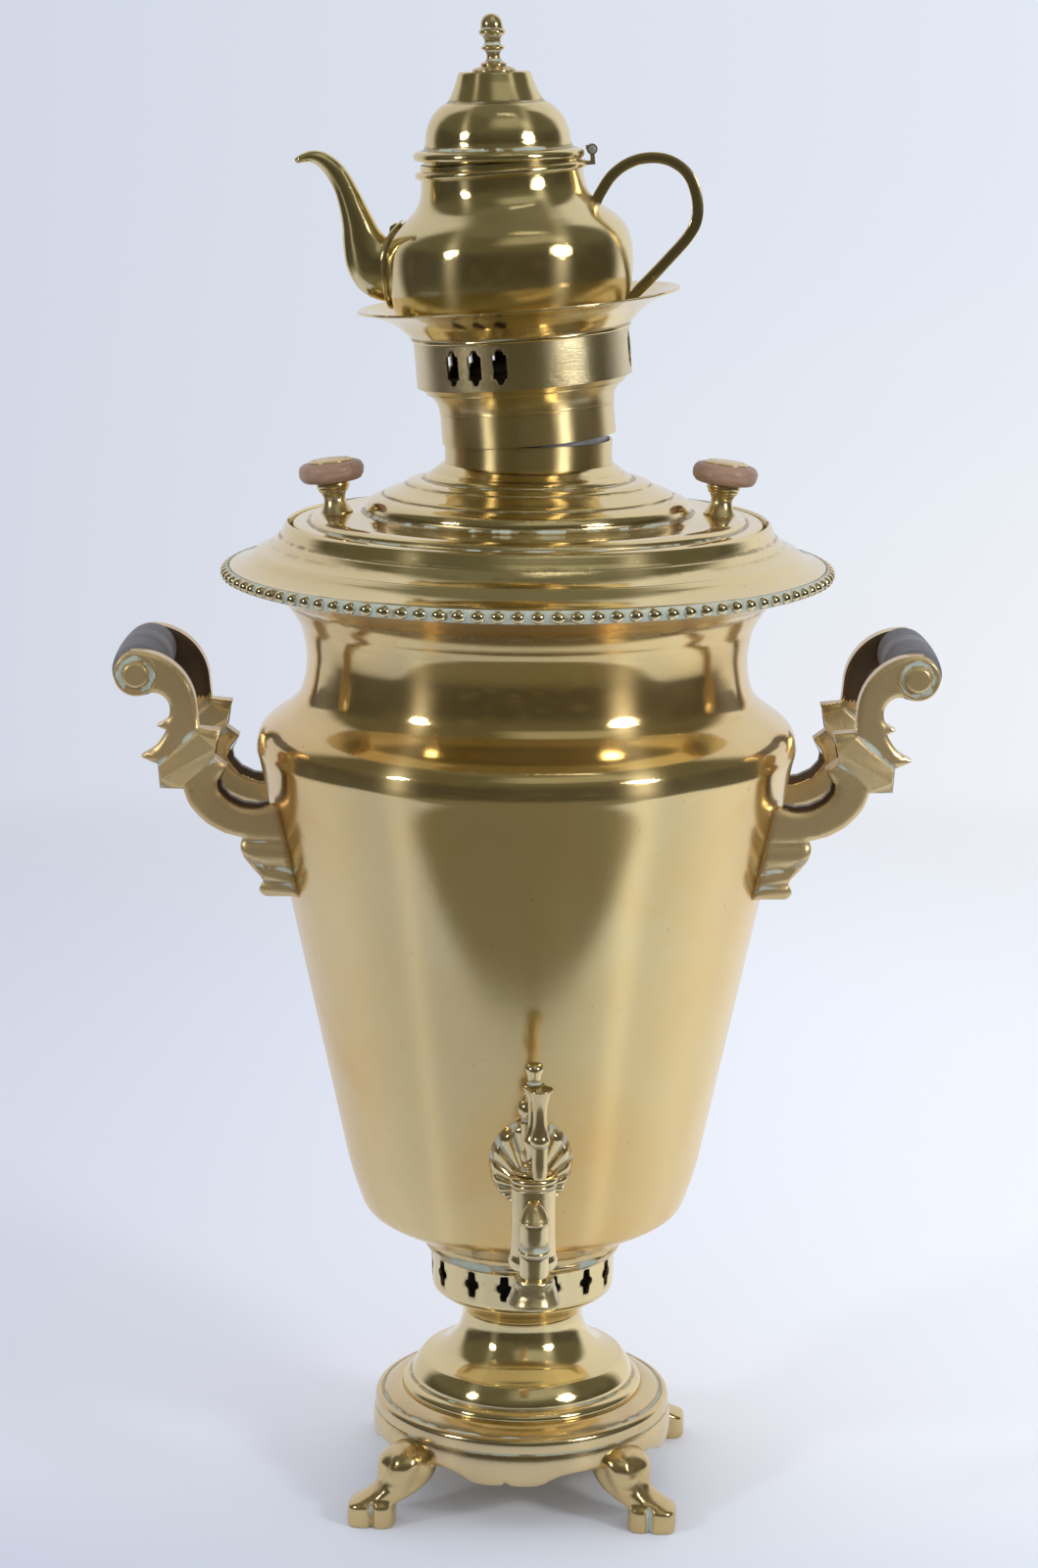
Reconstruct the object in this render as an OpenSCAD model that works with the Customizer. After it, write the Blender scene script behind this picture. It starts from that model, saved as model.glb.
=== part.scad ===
// Charcoal samovar with its teapot: an urn on a footed base, a fire tube up the middle,
// a lid, a crown and the teapot that stands in it. Millimetres, +Z up, tap towards -Y.
// The origin lies on the ground under the middle of the urn.

/* [Feet] */
// How far the middle of each sole stands out beyond the base
foot_out = 14.5; // [11:0.5:24]
// Direction of each sole from the front or the back
foot_angle = 48.7; // [40:0.1:52]
// Turn of the base and its feet under the urn
foot_turn = -3.3; // [-15:0.1:15]
// Width of a toe
toe_w = 21; // [17:0.5:25]
// Length of a toe
toe_l = 18; // [15:0.5:22]
// Height of a toe
toe_h = 12; // [9:0.5:15]

/* [Base] */
// Ground to the lower edge of the base
base_clear = 22; // [18:1:30]
// Outer radius of the base flange
base_r = 67.5; // [62:0.5:74]
// Height of the flange's rim
rim_h = 22; // [18:1:28]
// Height from the rim to the line round the bell
bell_h = 17; // [13:1:22]
// Radius of that line
bell_r = 44.7; // [38:0.5:48]
// Height from that line to the underside of the vent collar
stem_h = 20; // [16:1:28]
// Radius of the waist
waist_r = 27.3; // [22:0.5:32]
// Thickness of the cast base
base_wall = 3; // [2:0.25:4]

/* [Vent collar] */
// Outer radius of the vent collar
collar_r = 41.2; // [38:0.2:46]
// Height of the vent collar
collar_h = 31; // [28:1:38]
// Thickness of the collar's sheet
collar_wall = 1.5; // [1:0.1:2]
// Number of air holes
vent_count = 13; // [8:1:14]
// Height of an air hole
vent_tall = 11.5; // [8:0.5:13]
// Width of an air hole
vent_wide = 7; // [5:0.25:8]
// Thickness of the grate
grate_t = 2.5; // [2:0.25:4]

/* [Fire tube] */
// Outer radius of the fire tube at its foot
tube_foot_r = 38.5; // [36:0.25:39.5]
// Outer radius of the fire tube at its mouth
tube_top_r = 34.2; // [30:0.2:36]
// Thickness of the fire tube
tube_wall = 1.6; // [1.2:0.1:2.2]
// How far the fire tube stands above the brim
tube_above = 48; // [44:1:50]

/* [Urn] */
// Largest radius of the urn, at its ridge
body_r = 119; // [112:1:126]
// Radius where the bowl meets the straight side
bowl_r = 75; // [66:1:82]
// Height of the seat ring under the urn
seat_h = 2.4; // [2:0.2:5]
// Height of the bowl
bowl_h = 27.6; // [22:0.2:34]
// Height of the straight side
side_h = 202; // [180:1:225]
// Height from the ridge to the narrowest part of the neck
shoulder_h = 39; // [33:1:46]
// Radius of the neck
neck_r = 96.5; // [90:0.5:102]
// Height from the narrowest part of the neck to the brim
flare_h = 34; // [28:1:40]
// Thickness of the urn's sheet
urn_wall = 1.2; // [0.8:0.1:2]

/* [Brim] */
// Outer radius over the beads
brim_r = 134; // [127:1:142]
// Diameter of a bead
bead_d = 5; // [4:0.25:6]
// Distance from bead to bead
bead_pitch = 8.05; // [6.5:0.05:12]
// Height of the beaded band
bead_h = 9.4; // [8:0.2:12]
// Height of the brim above its beads
brim_rise = 17.2; // [14:0.2:22]
// Radius of the opening that the lid fills
opening_r = 106.8; // [100:0.2:112]
// Width of the ledge that carries the lid
ledge_w = 8; // [5:0.5:10]

/* [Lid] */
// Gap round the lid
lid_gap = 1.9; // [1:0.1:3]
// Height of the lid's dome
lid_rise = 25.6; // [20:0.2:30]
// Radius of the dome's main step
step_r = 71; // [62:0.5:78]
// Height of the collar on top of the lid
lid_collar_h = 10.5; // [6:0.5:12]
// Gap between the collar and the fire tube
tube_gap = 1.2; // [0.8:0.1:1.8]
// Distance from the lid's axis to each knob
knob_reach = 84; // [80:0.5:90]
// Lean of the knobs
knob_lean = 6.5; // [0:0.5:12]
// Height of a knob's stem
knob_stem_h = 14; // [11:0.5:18]
// Radius of a knob's wooden button
button_r = 14; // [11:0.5:17]
// Thickness of the button
button_t = 8.6; // [7:0.2:11]

/* [Crown] */
// Lean of the crown towards the left
crown_tilt = 4.8; // [0:0.1:5]
// Height of the crown's lower ring
ring_h = 11; // [9:0.5:14]
// Height of the cove between the ring and the gallery
cove_h = 11; // [8:0.5:14]
// Outer radius of the pierced gallery
gallery_r = 46.6; // [44.5:0.2:50]
// Height of the gallery
gallery_h = 19.7; // [18:0.1:26]
// Outer radius of the dish
dish_r = 70; // [64:0.5:76]
// Height of the dish
dish_h = 14.5; // [12:0.5:18]
// Thickness of the crown's sheet
crown_wall = 1.2; // [0.9:0.1:1.6]
// Radius of the smoke hole in the crown's ledge
smoke_r = 28; // [22:1:32]
// Height of a slot in the gallery
slot_tall = 15.5; // [12:0.5:16.5]
// Width of a slot
slot_wide = 6.2; // [4.5:0.1:7.5]

/* [Teapot] */
// Largest radius of the teapot
pot_r = 53.6; // [49:0.2:56]
// Radius of the teapot's neck
pot_neck_r = 34.7; // [31:0.1:38]
// Height of the teapot without its lid
pot_h = 76; // [68:0.5:84]
// Thickness of the teapot's sheet
pot_wall = 1.2; // [0.9:0.1:1.8]
// How far the teapot stands left of the crown's axis
pot_shift = 3; // [0:0.1:3.2]
// Reach of the spout's tip from the teapot's axis
spout_reach = 87.3; // [78:0.5:98]
// Reach of the handle from the teapot's axis
grip_reach = 84.5; // [76:0.5:96]
// Thickness of the handle's strap
strap_t = 4.6; // [3.4:0.2:6]
// Width of the strap
strap_w = 7; // [5:0.5:10]
// How far the teapot's lid stands ajar
lid_ajar = 3; // [0:0.5:8]
// Height of the teapot's lid without its finial
cap_h = 36.8; // [30:0.4:44]
// Height of the finial
finial_h = 24; // [18:0.5:30]

/* [Tap] */
// Turn of the tap from the front
tap_turn = 2.1; // [-10:0.1:10]
// Distance from the urn's axis to the barrel's axis
tap_reach = 112; // [106:0.5:120]
// Height of the shank's axis above the foot of the urn
tap_rise = 51; // [46:0.5:70]
// Outer radius of the barrel
barrel_r = 9.6; // [8.6:0.1:11]
// Height of the barrel
barrel_h = 38; // [34:0.5:44]
// Radius of the plug that turns in the barrel
plug_r = 6.2; // [5.2:0.1:7]
// Distance from the barrel's axis to the spout's axis
spout_out = 11.5; // [10:0.25:14]
// Outer radius of the nozzle's mouth
nozzle_r = 11.6; // [9.5:0.1:13]
// Height of the key above the barrel
key_h = 52; // [44:0.5:60]
// Distance from the key's stem to each of its arms
key_arm = 14; // [12:0.25:17]
// Turn of the key when the tap is shut
key_turn = 9; // [-20:1:20]

/* [Handles] */
// Distance from the urn's axis to each grip's axis
handle_reach = 167.8; // [160:0.2:176]
// Height of the grips' axes above the urn's ridge
handle_rise = 37; // [32:0.5:42]
// Distance between the middles of a handle's two brackets
bracket_span = 69; // [60:1:80]
// Height from the tip of a bracket's leaf foot to the rod
bracket_drop = 98.4; // [90:0.4:106]
// Thickness of a bracket
bracket_t = 12; // [9:0.5:15]
// Radius of a bracket's boss
boss_r = 9.6; // [8.5:0.1:12]
// Radius of the rod through a handle
rod_r = 4; // [3:0.1:5]
// Largest radius of a wooden grip
grip_r = 14; // [12:0.2:17]

/* [Hidden] */
$fn = 96;

brass = "#c6a04c";
cast_brass = "#b8923f";
dark_iron = "#57544f";
grey_tube = "#8b8d90";
brown_wood = "#8a5434";
black_wood = "#2c2a2b";

// Running clearance of a round fit and the gap between parts that only rest on each other
run_clear = 0.05;
rest_gap = 0.3;
// Depth by which a cutter runs past the face it opens
past = 1;

// Heights of the main levels, from the ground up
rim_top = base_clear + rim_h;
foot_reach = base_r + foot_out;
bell_z = rim_top + bell_h;
collar_z = bell_z + stem_h;
seat_z = collar_z + collar_h;
urn_z = seat_z + seat_h;
bowl_z = urn_z + bowl_h;
ridge_z = bowl_z + side_h;
neck_z = ridge_z + shoulder_h;
bead_z = neck_z + flare_h;
brim_z = bead_z + bead_h;
lip_z = brim_z + brim_rise;
tube_mouth_z = lip_z + tube_above;

// Radius of the ring that carries the beads
bead_core_r = brim_r - bead_d / 2 - 0.2;
// Height of the ledge that the lid rests on
ledge_z = lip_z - 4;
lid_z = ledge_z + rest_gap;
lid_r = opening_r - lid_gap;
lid_wall = 1.2;
lid_top_z = lid_z + lid_rise + 3.4;
lid_collar_r = tube_top_r + tube_gap + lid_wall;
collar_top_z = lid_top_z + lid_collar_h;
// Lowest edge of the leaning crown, just above the collar it leans on
crown_ring_r = tube_top_r + 1.3 + crown_wall;
crown_z = collar_top_z + rest_gap + crown_ring_r * sin(crown_tilt);
gallery_t = ring_h + cove_h;
ledge_t = gallery_t + gallery_h - 1.7 - crown_wall;
pot_seat = gallery_t + gallery_h - 1.7 + rest_gap;
dish_t = gallery_t + gallery_h;

tap_z = urn_z + tap_rise;
grip_z = ridge_z + handle_rise;

// ---- Curves ----

// Point on a Catmull-Rom curve between b and c
function curve_point(a, b, c, d, t) =
  0.5 * (2 * b + (c - a) * t + (2 * a - 5 * b + 4 * c - d) * t * t
  + (3 * b - a - 3 * c + d) * t * t * t);

// Smooth curve through the points, with a given number of steps from point to point
function curve(p, steps) =
  concat(
    [for (i = [0 : len(p) - 2], s = [0 : steps - 1])
      curve_point(p[max(i - 1, 0)], p[i], p[i + 1], p[min(i + 2, len(p) - 1)], s / steps)],
    [p[len(p) - 1]]
  );

function arc(c, r, a0, a1, steps) =
  [for (i = [0 : steps]) let(a = a0 + (a1 - a0) * i / steps) c + r * [cos(a), sin(a)]];

// Left-hand normal of a polyline at its point i
function side(p, i) =
  let(d = p[min(i + 1, len(p) - 1)] - p[max(i - 1, 0)]) [-d[1], d[0]] / norm(d);

function reversed(p) = [for (i = [len(p) - 1 : -1 : 0]) p[i]];

// Closed outline of a sheet whose outer face is the polyline p
function sheet(p, wall) =
  concat(p, reversed([for (i = [0 : len(p) - 1]) p[i] + wall * side(p, i)]));

// Strip of even thickness along a polyline
function strip(p, t) =
  concat([for (i = [0 : len(p) - 1]) p[i] - t / 2 * side(p, i)],
    reversed([for (i = [0 : len(p) - 1]) p[i] + t / 2 * side(p, i)]));

// Radius between two radii by a share k
function mix(a, b, k) = a + (b - a) * k;

// Solid through a stack of rings, each a list of as many 3-D points, anticlockwise from above
module loft(rings) {
  n = len(rings[0]);
  m = len(rings);
  walls = [
    for (i = [0 : m - 2], j = [0 : n - 1])
      let(a = i * n + j, b = i * n + (j + 1) % n)
        each [[a, a + n, b + n], [a, b + n, b]]
  ];
  foot = [for (j = [0 : n - 1]) j];
  head = [for (j = [n - 1 : -1 : 0]) (m - 1) * n + j];
  polyhedron([for (r = rings) each r], concat(walls, [foot, head]));
}

// Lathe-turned piece from an outline of [radius, height] points
module turned(outline) rotate_extrude() polygon(outline);

// Lathe-turned shell that is cut off flat at its foot and at its head
module turned_sheet(profile, wall, foot_z, head_z)
  rotate_extrude()
    intersection() {
      polygon(sheet(profile, wall));
      translate([0, foot_z]) square([2 * brim_r, head_z - foot_z]);
    }

// Outline closed down to the axis, used to fit other pieces against a turned one
module core(profile, floor_z, top_z)
  turned(concat([[0, floor_z]], profile, [[0, top_z]]));

// ---- Outer profiles of the turned shells, from bottom to top ----

rim_profile = concat(
  curve([
    [base_r - 1.4, base_clear], [base_r + 0.2, base_clear + 0.25 * rim_h],
    [base_r + 0.3, base_clear + 0.45 * rim_h], [base_r - 0.5, base_clear + 0.66 * rim_h]
  ], 3),
  [
    [base_r - 1.1, base_clear + 0.68 * rim_h], [base_r - 0.5, base_clear + 0.7 * rim_h],
    [base_r - 0.6, rim_top - 1.6], [base_r - 1.4, rim_top - 0.4], [base_r - 3.2, rim_top]
  ],
  curve([
    [base_r - 3.8, rim_top - 0.4], [mix(base_r, bell_r, 0.3), rim_top + 0.11 * bell_h],
    [mix(base_r, bell_r, 0.45), rim_top + 0.19 * bell_h],
    [mix(base_r, bell_r, 0.58), rim_top + 0.18 * bell_h]
  ], 3)
);

bell_profile = concat(
  curve([
    [mix(base_r, bell_r, 0.58), rim_top + 0.18 * bell_h],
    [mix(base_r, bell_r, 0.61), rim_top + 0.27 * bell_h],
    [mix(base_r, bell_r, 0.66), rim_top + 0.37 * bell_h],
    [mix(base_r, bell_r, 0.73), rim_top + 0.42 * bell_h]
  ], 3),
  curve([
    [mix(base_r, bell_r, 0.75), rim_top + 0.44 * bell_h],
    [mix(base_r, bell_r, 0.8), rim_top + 0.64 * bell_h],
    [mix(base_r, bell_r, 0.9), rim_top + 0.86 * bell_h], [bell_r + 0.4, bell_z]
  ], 3),
  curve([
    [bell_r, bell_z - 0.2], [mix(bell_r, waist_r, 0.25), bell_z + 0.07 * stem_h],
    [mix(bell_r, waist_r, 0.52), bell_z + 0.2 * stem_h],
    [mix(bell_r, waist_r, 0.75), bell_z + 0.4 * stem_h],
    [mix(bell_r, waist_r, 0.92), bell_z + 0.63 * stem_h],
    [waist_r, bell_z + 0.85 * stem_h], [waist_r, collar_z]
  ], 4)
);

vent_profile = concat(
  curve([
    [waist_r, collar_z], [mix(waist_r, collar_r, 0.22), collar_z + 2.2],
    [mix(waist_r, collar_r, 0.52), collar_z + 4.2],
    [mix(waist_r, collar_r, 0.78), collar_z + 6.8],
    [mix(waist_r, collar_r, 0.94), collar_z + 10], [collar_r - 0.1, collar_z + 14]
  ], 4),
  [[collar_r, seat_z - 1.4], [collar_r + 0.5, seat_z]]
);

urn_foot_r = collar_r + 5.5;
urn_profile = concat(
  curve([
    [urn_foot_r, urn_z], [mix(urn_foot_r, bowl_r, 0.28), urn_z + 0.12 * bowl_h],
    [mix(urn_foot_r, bowl_r, 0.5), urn_z + 0.22 * bowl_h],
    [mix(urn_foot_r, bowl_r, 0.72), urn_z + 0.42 * bowl_h],
    [mix(urn_foot_r, bowl_r, 0.87), urn_z + 0.66 * bowl_h], [bowl_r, bowl_z]
  ], 4),
  [for (k = [0.06 : 0.08 : 0.94])
    [mix(bowl_r, body_r, k - 0.05 * sin(180 * k)) - 0.4 * k, mix(bowl_z, ridge_z, k)]],
  curve([
    [body_r - 0.8, ridge_z - 3.5], [body_r, ridge_z], [body_r - 0.4, ridge_z + 2.6],
    [mix(body_r, neck_r, 0.07), ridge_z + 0.16 * shoulder_h],
    [mix(body_r, neck_r, 0.19), ridge_z + 0.26 * shoulder_h],
    [mix(body_r, neck_r, 0.37), ridge_z + 0.36 * shoulder_h],
    [mix(body_r, neck_r, 0.57), ridge_z + 0.44 * shoulder_h],
    [mix(body_r, neck_r, 0.78), ridge_z + 0.53 * shoulder_h],
    [mix(body_r, neck_r, 0.91), ridge_z + 0.66 * shoulder_h],
    [mix(body_r, neck_r, 0.98), ridge_z + 0.82 * shoulder_h], [neck_r, neck_z],
    [neck_r + 0.2, neck_z + 0.2 * flare_h], [neck_r + 0.8, neck_z + 0.4 * flare_h],
    [mix(neck_r, bead_core_r, 0.06), neck_z + 0.54 * flare_h],
    [mix(neck_r, bead_core_r, 0.16), neck_z + 0.63 * flare_h],
    [mix(neck_r, bead_core_r, 0.37), neck_z + 0.71 * flare_h],
    [mix(neck_r, bead_core_r, 0.62), neck_z + 0.79 * flare_h],
    [mix(neck_r, bead_core_r, 0.82), neck_z + 0.87 * flare_h],
    [bead_core_r - 0.6, bead_z - 0.6]
  ], 3),
  [[bead_core_r, bead_z]]
);

brim_profile = concat(
  curve([
    [bead_core_r, brim_z], [mix(bead_core_r, opening_r, 0.05), brim_z + 0.06 * brim_rise],
    [mix(bead_core_r, opening_r, 0.2), brim_z + 0.12 * brim_rise],
    [mix(bead_core_r, opening_r, 0.42), brim_z + 0.2 * brim_rise],
    [mix(bead_core_r, opening_r, 0.56), brim_z + 0.28 * brim_rise]
  ], 3),
  curve([
    [mix(bead_core_r, opening_r, 0.6), brim_z + 0.3 * brim_rise],
    [mix(bead_core_r, opening_r, 0.63), brim_z + 0.37 * brim_rise],
    [mix(bead_core_r, opening_r, 0.68), brim_z + 0.46 * brim_rise],
    [mix(bead_core_r, opening_r, 0.76), brim_z + 0.55 * brim_rise],
    [mix(bead_core_r, opening_r, 0.85), brim_z + 0.6 * brim_rise]
  ], 3),
  curve([
    [opening_r + 2.9, brim_z + 0.63 * brim_rise], [opening_r + 2, brim_z + 0.75 * brim_rise],
    [opening_r + 1.6, lip_z - 2], [opening_r + 0.9, lip_z - 0.5], [opening_r, lip_z]
  ], 3)
);

lid_profile = concat(
  [[lid_r, lid_z], [lid_r, lid_z + 2.6], [lid_r - 0.7, lid_z + 3.4],
    [lid_r - 8, lid_z + 3.5], [lid_r - 9.4, lid_z + 3.2]],
  curve([
    [lid_r - 10, lid_z + 3.6], [lid_r - 11.2, lid_z + 5.2], [lid_r - 13.5, lid_z + 6.1],
    [lid_r - 17, lid_z + 6.4]
  ], 3),
  curve([
    [mix(lid_r, step_r, 0.6), lid_z + 6.5], [step_r + 4, lid_z + 6.7],
    [step_r + 1, lid_z + 7.6], [step_r, lid_z + 9.6], [step_r - 1.2, lid_z + 11.8],
    [step_r - 3.4, lid_z + 13.6], [mix(step_r, lid_collar_r, 0.22), lid_z + 15]
  ], 3),
  curve([
    [mix(step_r, lid_collar_r, 0.24), lid_z + 15.8],
    [mix(step_r, lid_collar_r, 0.32), lid_z + 17.2],
    [mix(step_r, lid_collar_r, 0.5), lid_z + 19.2]
  ], 3),
  curve([
    [mix(step_r, lid_collar_r, 0.52), lid_z + 20.1],
    [mix(step_r, lid_collar_r, 0.58), lid_z + 21.2],
    [mix(step_r, lid_collar_r, 0.72), lid_z + 21.9]
  ], 2),
  curve([
    [mix(step_r, lid_collar_r, 0.76), lid_z + 22.2],
    [mix(step_r, lid_collar_r, 0.79), lid_z + 23.8],
    [mix(step_r, lid_collar_r, 0.86), lid_z + 25.6],
    [mix(step_r, lid_collar_r, 0.95), lid_z + 27.4], [lid_collar_r, lid_top_z]
  ], 3),
  [[lid_collar_r - lid_wall, lid_top_z]]
);

cove_profile = concat(
  [[crown_ring_r, 0], [crown_ring_r, ring_h], [crown_ring_r + 0.5, ring_h + 0.5]],
  curve([
    [crown_ring_r + 1.2, ring_h + 0.8], [crown_ring_r + 2.2, ring_h + 0.34 * cove_h],
    [mix(crown_ring_r, gallery_r, 0.4), ring_h + 0.62 * cove_h],
    [mix(crown_ring_r, gallery_r, 0.7), ring_h + 0.86 * cove_h],
    [gallery_r, gallery_t]
  ], 3)
);

dish_profile = concat(
  [[gallery_r, dish_t]],
  curve([
    [gallery_r + 0.5, dish_t + 0.4], [gallery_r + 1.8, dish_t + 0.18 * dish_h],
    [mix(gallery_r, dish_r, 0.2), dish_t + 0.38 * dish_h],
    [mix(gallery_r, dish_r, 0.36), dish_t + 0.56 * dish_h],
    [mix(gallery_r, dish_r, 0.62), dish_t + 0.76 * dish_h],
    [mix(gallery_r, dish_r, 0.86), dish_t + 0.92 * dish_h], [dish_r, dish_t + dish_h]
  ], 3)
);

pot_foot_r = 36;
pot_profile = curve([
  [pot_foot_r, 0], [mix(pot_foot_r, pot_r, 0.3), 0.026 * pot_h],
  [mix(pot_foot_r, pot_r, 0.52), 0.078 * pot_h], [mix(pot_foot_r, pot_r, 0.73), 0.15 * pot_h],
  [mix(pot_foot_r, pot_r, 0.92), 0.27 * pot_h], [pot_r, 0.41 * pot_h],
  [pot_r - 0.3, 0.49 * pot_h], [mix(pot_r, pot_neck_r, 0.09), 0.56 * pot_h],
  [mix(pot_r, pot_neck_r, 0.22), 0.62 * pot_h], [mix(pot_r, pot_neck_r, 0.5), 0.68 * pot_h],
  [mix(pot_r, pot_neck_r, 0.78), 0.735 * pot_h], [mix(pot_r, pot_neck_r, 0.95), 0.8 * pot_h],
  [pot_neck_r, 0.87 * pot_h], [pot_neck_r, pot_h]
], 4);

cap_r = pot_neck_r + 1.9;
cap_profile = concat(
  [[cap_r - 1.2, 0]],
  curve([
    [cap_r - 0.3, 0.6], [cap_r, 2], [cap_r - 0.8, 3.4], [cap_r - 3, 4.4],
    [cap_r - 4.6, 5.2], [cap_r - 5.4, 0.22 * cap_h], [cap_r - 5.8, 0.32 * cap_h],
    [cap_r - 8.3, 0.48 * cap_h], [cap_r - 12, 0.59 * cap_h], [cap_r - 15.6, 0.67 * cap_h]
  ], 3),
  curve([
    [cap_r - 16.6, 0.7 * cap_h], [cap_r - 18.6, 0.79 * cap_h], [cap_r - 20.6, 0.93 * cap_h],
    [cap_r - 21.3, 0.99 * cap_h], [cap_r - 22.4, cap_h]
  ], 3)
);

// ---- Feet ----

// Cross-section of a foot at height z: a rounded oblong round the point c
function foot_ring(c, half_w, half_l, z) =
  [for (i = [0 : 23])
    let(a = i * 15, k = pow(pow(abs(cos(a)), 3) + pow(abs(sin(a)), 3), -1 / 3))
      [c[0] + half_w * k * cos(a), c[1] + half_l * k * sin(a), z]];

// A foot that stands at (x, y) and leans in to the rim of the base; heel is -1 in front
module foot(x, y) {
  sole = [x, y];
  inward = -sole / norm(sole);
  knee = -inward * (base_r - 9);
  top_z = base_clear + 0.75 * rim_h;
  steps = [
    // share of the way to the knee, half width, half length, height
    [0, toe_w / 2 - 0.8, toe_l / 2 - 0.8, 0], [0, toe_w / 2, toe_l / 2, 1.5],
    [0.02, toe_w / 2 - 0.2, toe_l / 2 - 0.3, 0.55 * toe_h],
    [0.06, toe_w / 2 - 1.8, toe_l / 2 - 1.6, 0.88 * toe_h],
    [0.16, toe_w / 2 - 4, toe_l / 2 - 2.6, toe_h + 1.5],
    [0.36, 6.2, 6.4, mix(toe_h, top_z, 0.3)], [0.58, 6.6, 6.8, mix(toe_h, top_z, 0.5)],
    [0.8, 8.4, 8.2, mix(toe_h, top_z, 0.7)], [0.95, 9.4, 9, mix(toe_h, top_z, 0.86)],
    [1, 8.2, 8, mix(toe_h, top_z, 0.96)], [1, 5, 5, top_z]
  ];
  path = curve([for (s = steps) [mix(x, knee[0], s[0]), mix(y, knee[1], s[0]), s[1], s[2], s[3]]], 2);
  color(cast_brass)
    difference() {
      loft([for (p = path) foot_ring([p[0], p[1]], p[2], p[3], max(p[4], 0))]);
      // Split of the hoof
      translate([x, y + sign(y) * toe_l / 2, -past])
        rotate([0, 0, 45])
          translate([-1.3, -1.3, 0]) cube([2.6, 2.6, 0.75 * toe_h + past]);
      core(rim_profile, base_clear, rim_top + bell_h / 4);
    }
}

module foot_at(sx, sy)
  rotate([0, 0, foot_turn])
    foot(sx * foot_reach * sin(foot_angle), sy * foot_reach * cos(foot_angle));

module foot_front_left() foot_at(-1, -1);
module foot_front_right() foot_at(1, -1);
module foot_rear_left() foot_at(-1, 1);
module foot_rear_right() foot_at(1, 1);

// ---- Base ----

// Level of the joint between the apron and the top of the flange
apron_z = rim_top - base_wall;

// Upright rim with a pair of arches on each of its four sides
module base_apron() {
  arch_r = 12;
  arch_off = 23.5;
  color(cast_brass)
    rotate([0, 0, foot_turn])
      difference() {
        turned(concat(
          [for (p = rim_profile) if (p[1] < apron_z) p],
          [[base_r - 0.6, apron_z], [base_r - 0.6 - base_wall, apron_z],
            [base_r - 0.6 - base_wall, base_clear]]
        ));
        for (a = [0, 90, 180, 270], s = [-1, 1])
          rotate([0, 0, a + s * arch_off])
            translate([0, 0, base_clear + 6.3 - arch_r])
              rotate([90, 0, 0]) cylinder(r = arch_r, h = base_r + 10);
      }
}

module base_flange()
  color(cast_brass)
    difference() {
      turned(concat(
        [[base_r - 0.6, apron_z]],
        [for (p = rim_profile) if (p[1] > apron_z) p],
        [[mix(base_r, bell_r, 0.58), rim_top + 0.18 * bell_h - base_wall],
          [base_r - 7, apron_z + 0.55 * base_wall], [base_r - 0.6 - base_wall, apron_z]]
      ));
      base_bell();
    }

module base_bell()
  color(brass) turned_sheet(bell_profile, 0.6 * base_wall, rim_top, collar_z);

// ---- Vent collar, grate and fire tube ----

grate_r = collar_r - collar_wall - rest_gap;
// The vents leave room above them for the ledge that carries the grate
vent_z = seat_z - 1 - vent_tall / 2;

// Four-lobed air hole, cut along +Y
module vent() {
  lobe = vent_wide / 4;
  flank = vent_wide * 0.3;
  rotate([-90, 0, 0])
    linear_extrude(collar_r + 10)
      polygon(concat(
        arc([0, vent_tall / 2 - lobe], lobe, 0, 180, 8),
        arc([-vent_wide / 2 + flank, 0], flank, 120, 240, 8),
        arc([0, -vent_tall / 2 + lobe], lobe, 180, 360, 8),
        arc([vent_wide / 2 - flank, 0], flank, -60, 60, 8)
      ));
}

module vent_collar() {
  color(brass) {
    difference() {
      turned_sheet(vent_profile, collar_wall, collar_z, seat_z);
      for (i = [0 : vent_count - 1])
        rotate([0, 0, 184 + i * 360 / vent_count])
          translate([0, waist_r, vent_z]) vent();
    }
    // Ash floor, a little above the waist
    translate([0, 0, collar_z]) cylinder(r = waist_r, h = collar_wall);
  }
}

// Cast grate at the foot of the fire tube, with rings of holes for the air
module grate() {
  hole_r = 2.4;
  color(dark_iron)
    translate([0, 0, seat_z])
      difference() {
        cylinder(r = tube_foot_r - tube_wall - run_clear, h = grate_t);
        for (ring = [1 : 3], i = [0 : 6 * ring - 1])
          rotate([0, 0, i * 60 / ring])
            translate([ring * (tube_foot_r - 6) / 3.4, 0, -past])
              cylinder(r = hole_r, h = grate_t + 2 * past, $fn = 24);
      }
}

// Solder seat between the vent collar and the urn: the tube stands in it and the grate lies on it
module seat_ring()
  color(grey_tube)
    difference() {
      turned(concat(
        [[grate_r - 5, seat_z - 1.5], [collar_r - collar_wall - 0.1, seat_z - 1.5],
          [collar_r - collar_wall - 0.1, seat_z], [collar_r + 0.5, seat_z]],
        curve([[collar_r + 0.9, seat_z + 0.3 * seat_h], [collar_r + 2.4, seat_z + 0.7 * seat_h],
          [urn_foot_r, urn_z]], 3),
        [[tube_foot_r, urn_z], [tube_foot_r, seat_z], [grate_r - 5, seat_z]]
      ));
    }

module fire_tube()
  color(grey_tube)
    turned([
      [tube_foot_r - tube_wall, seat_z], [tube_foot_r, seat_z], [tube_foot_r, urn_z + urn_wall],
      [tube_top_r, tube_mouth_z - 60], [tube_top_r, tube_mouth_z],
      [tube_top_r - tube_wall, tube_mouth_z], [tube_top_r - tube_wall, tube_mouth_z - 60],
      [tube_foot_r - tube_wall, urn_z + urn_wall]
    ]);

// ---- Urn and brim ----

module tap_hole()
  rotate([0, 0, tap_turn])
    translate([0, 0, tap_z])
      rotate([90, 0, 0]) cylinder(r = passage_r, h = body_r);

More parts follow.
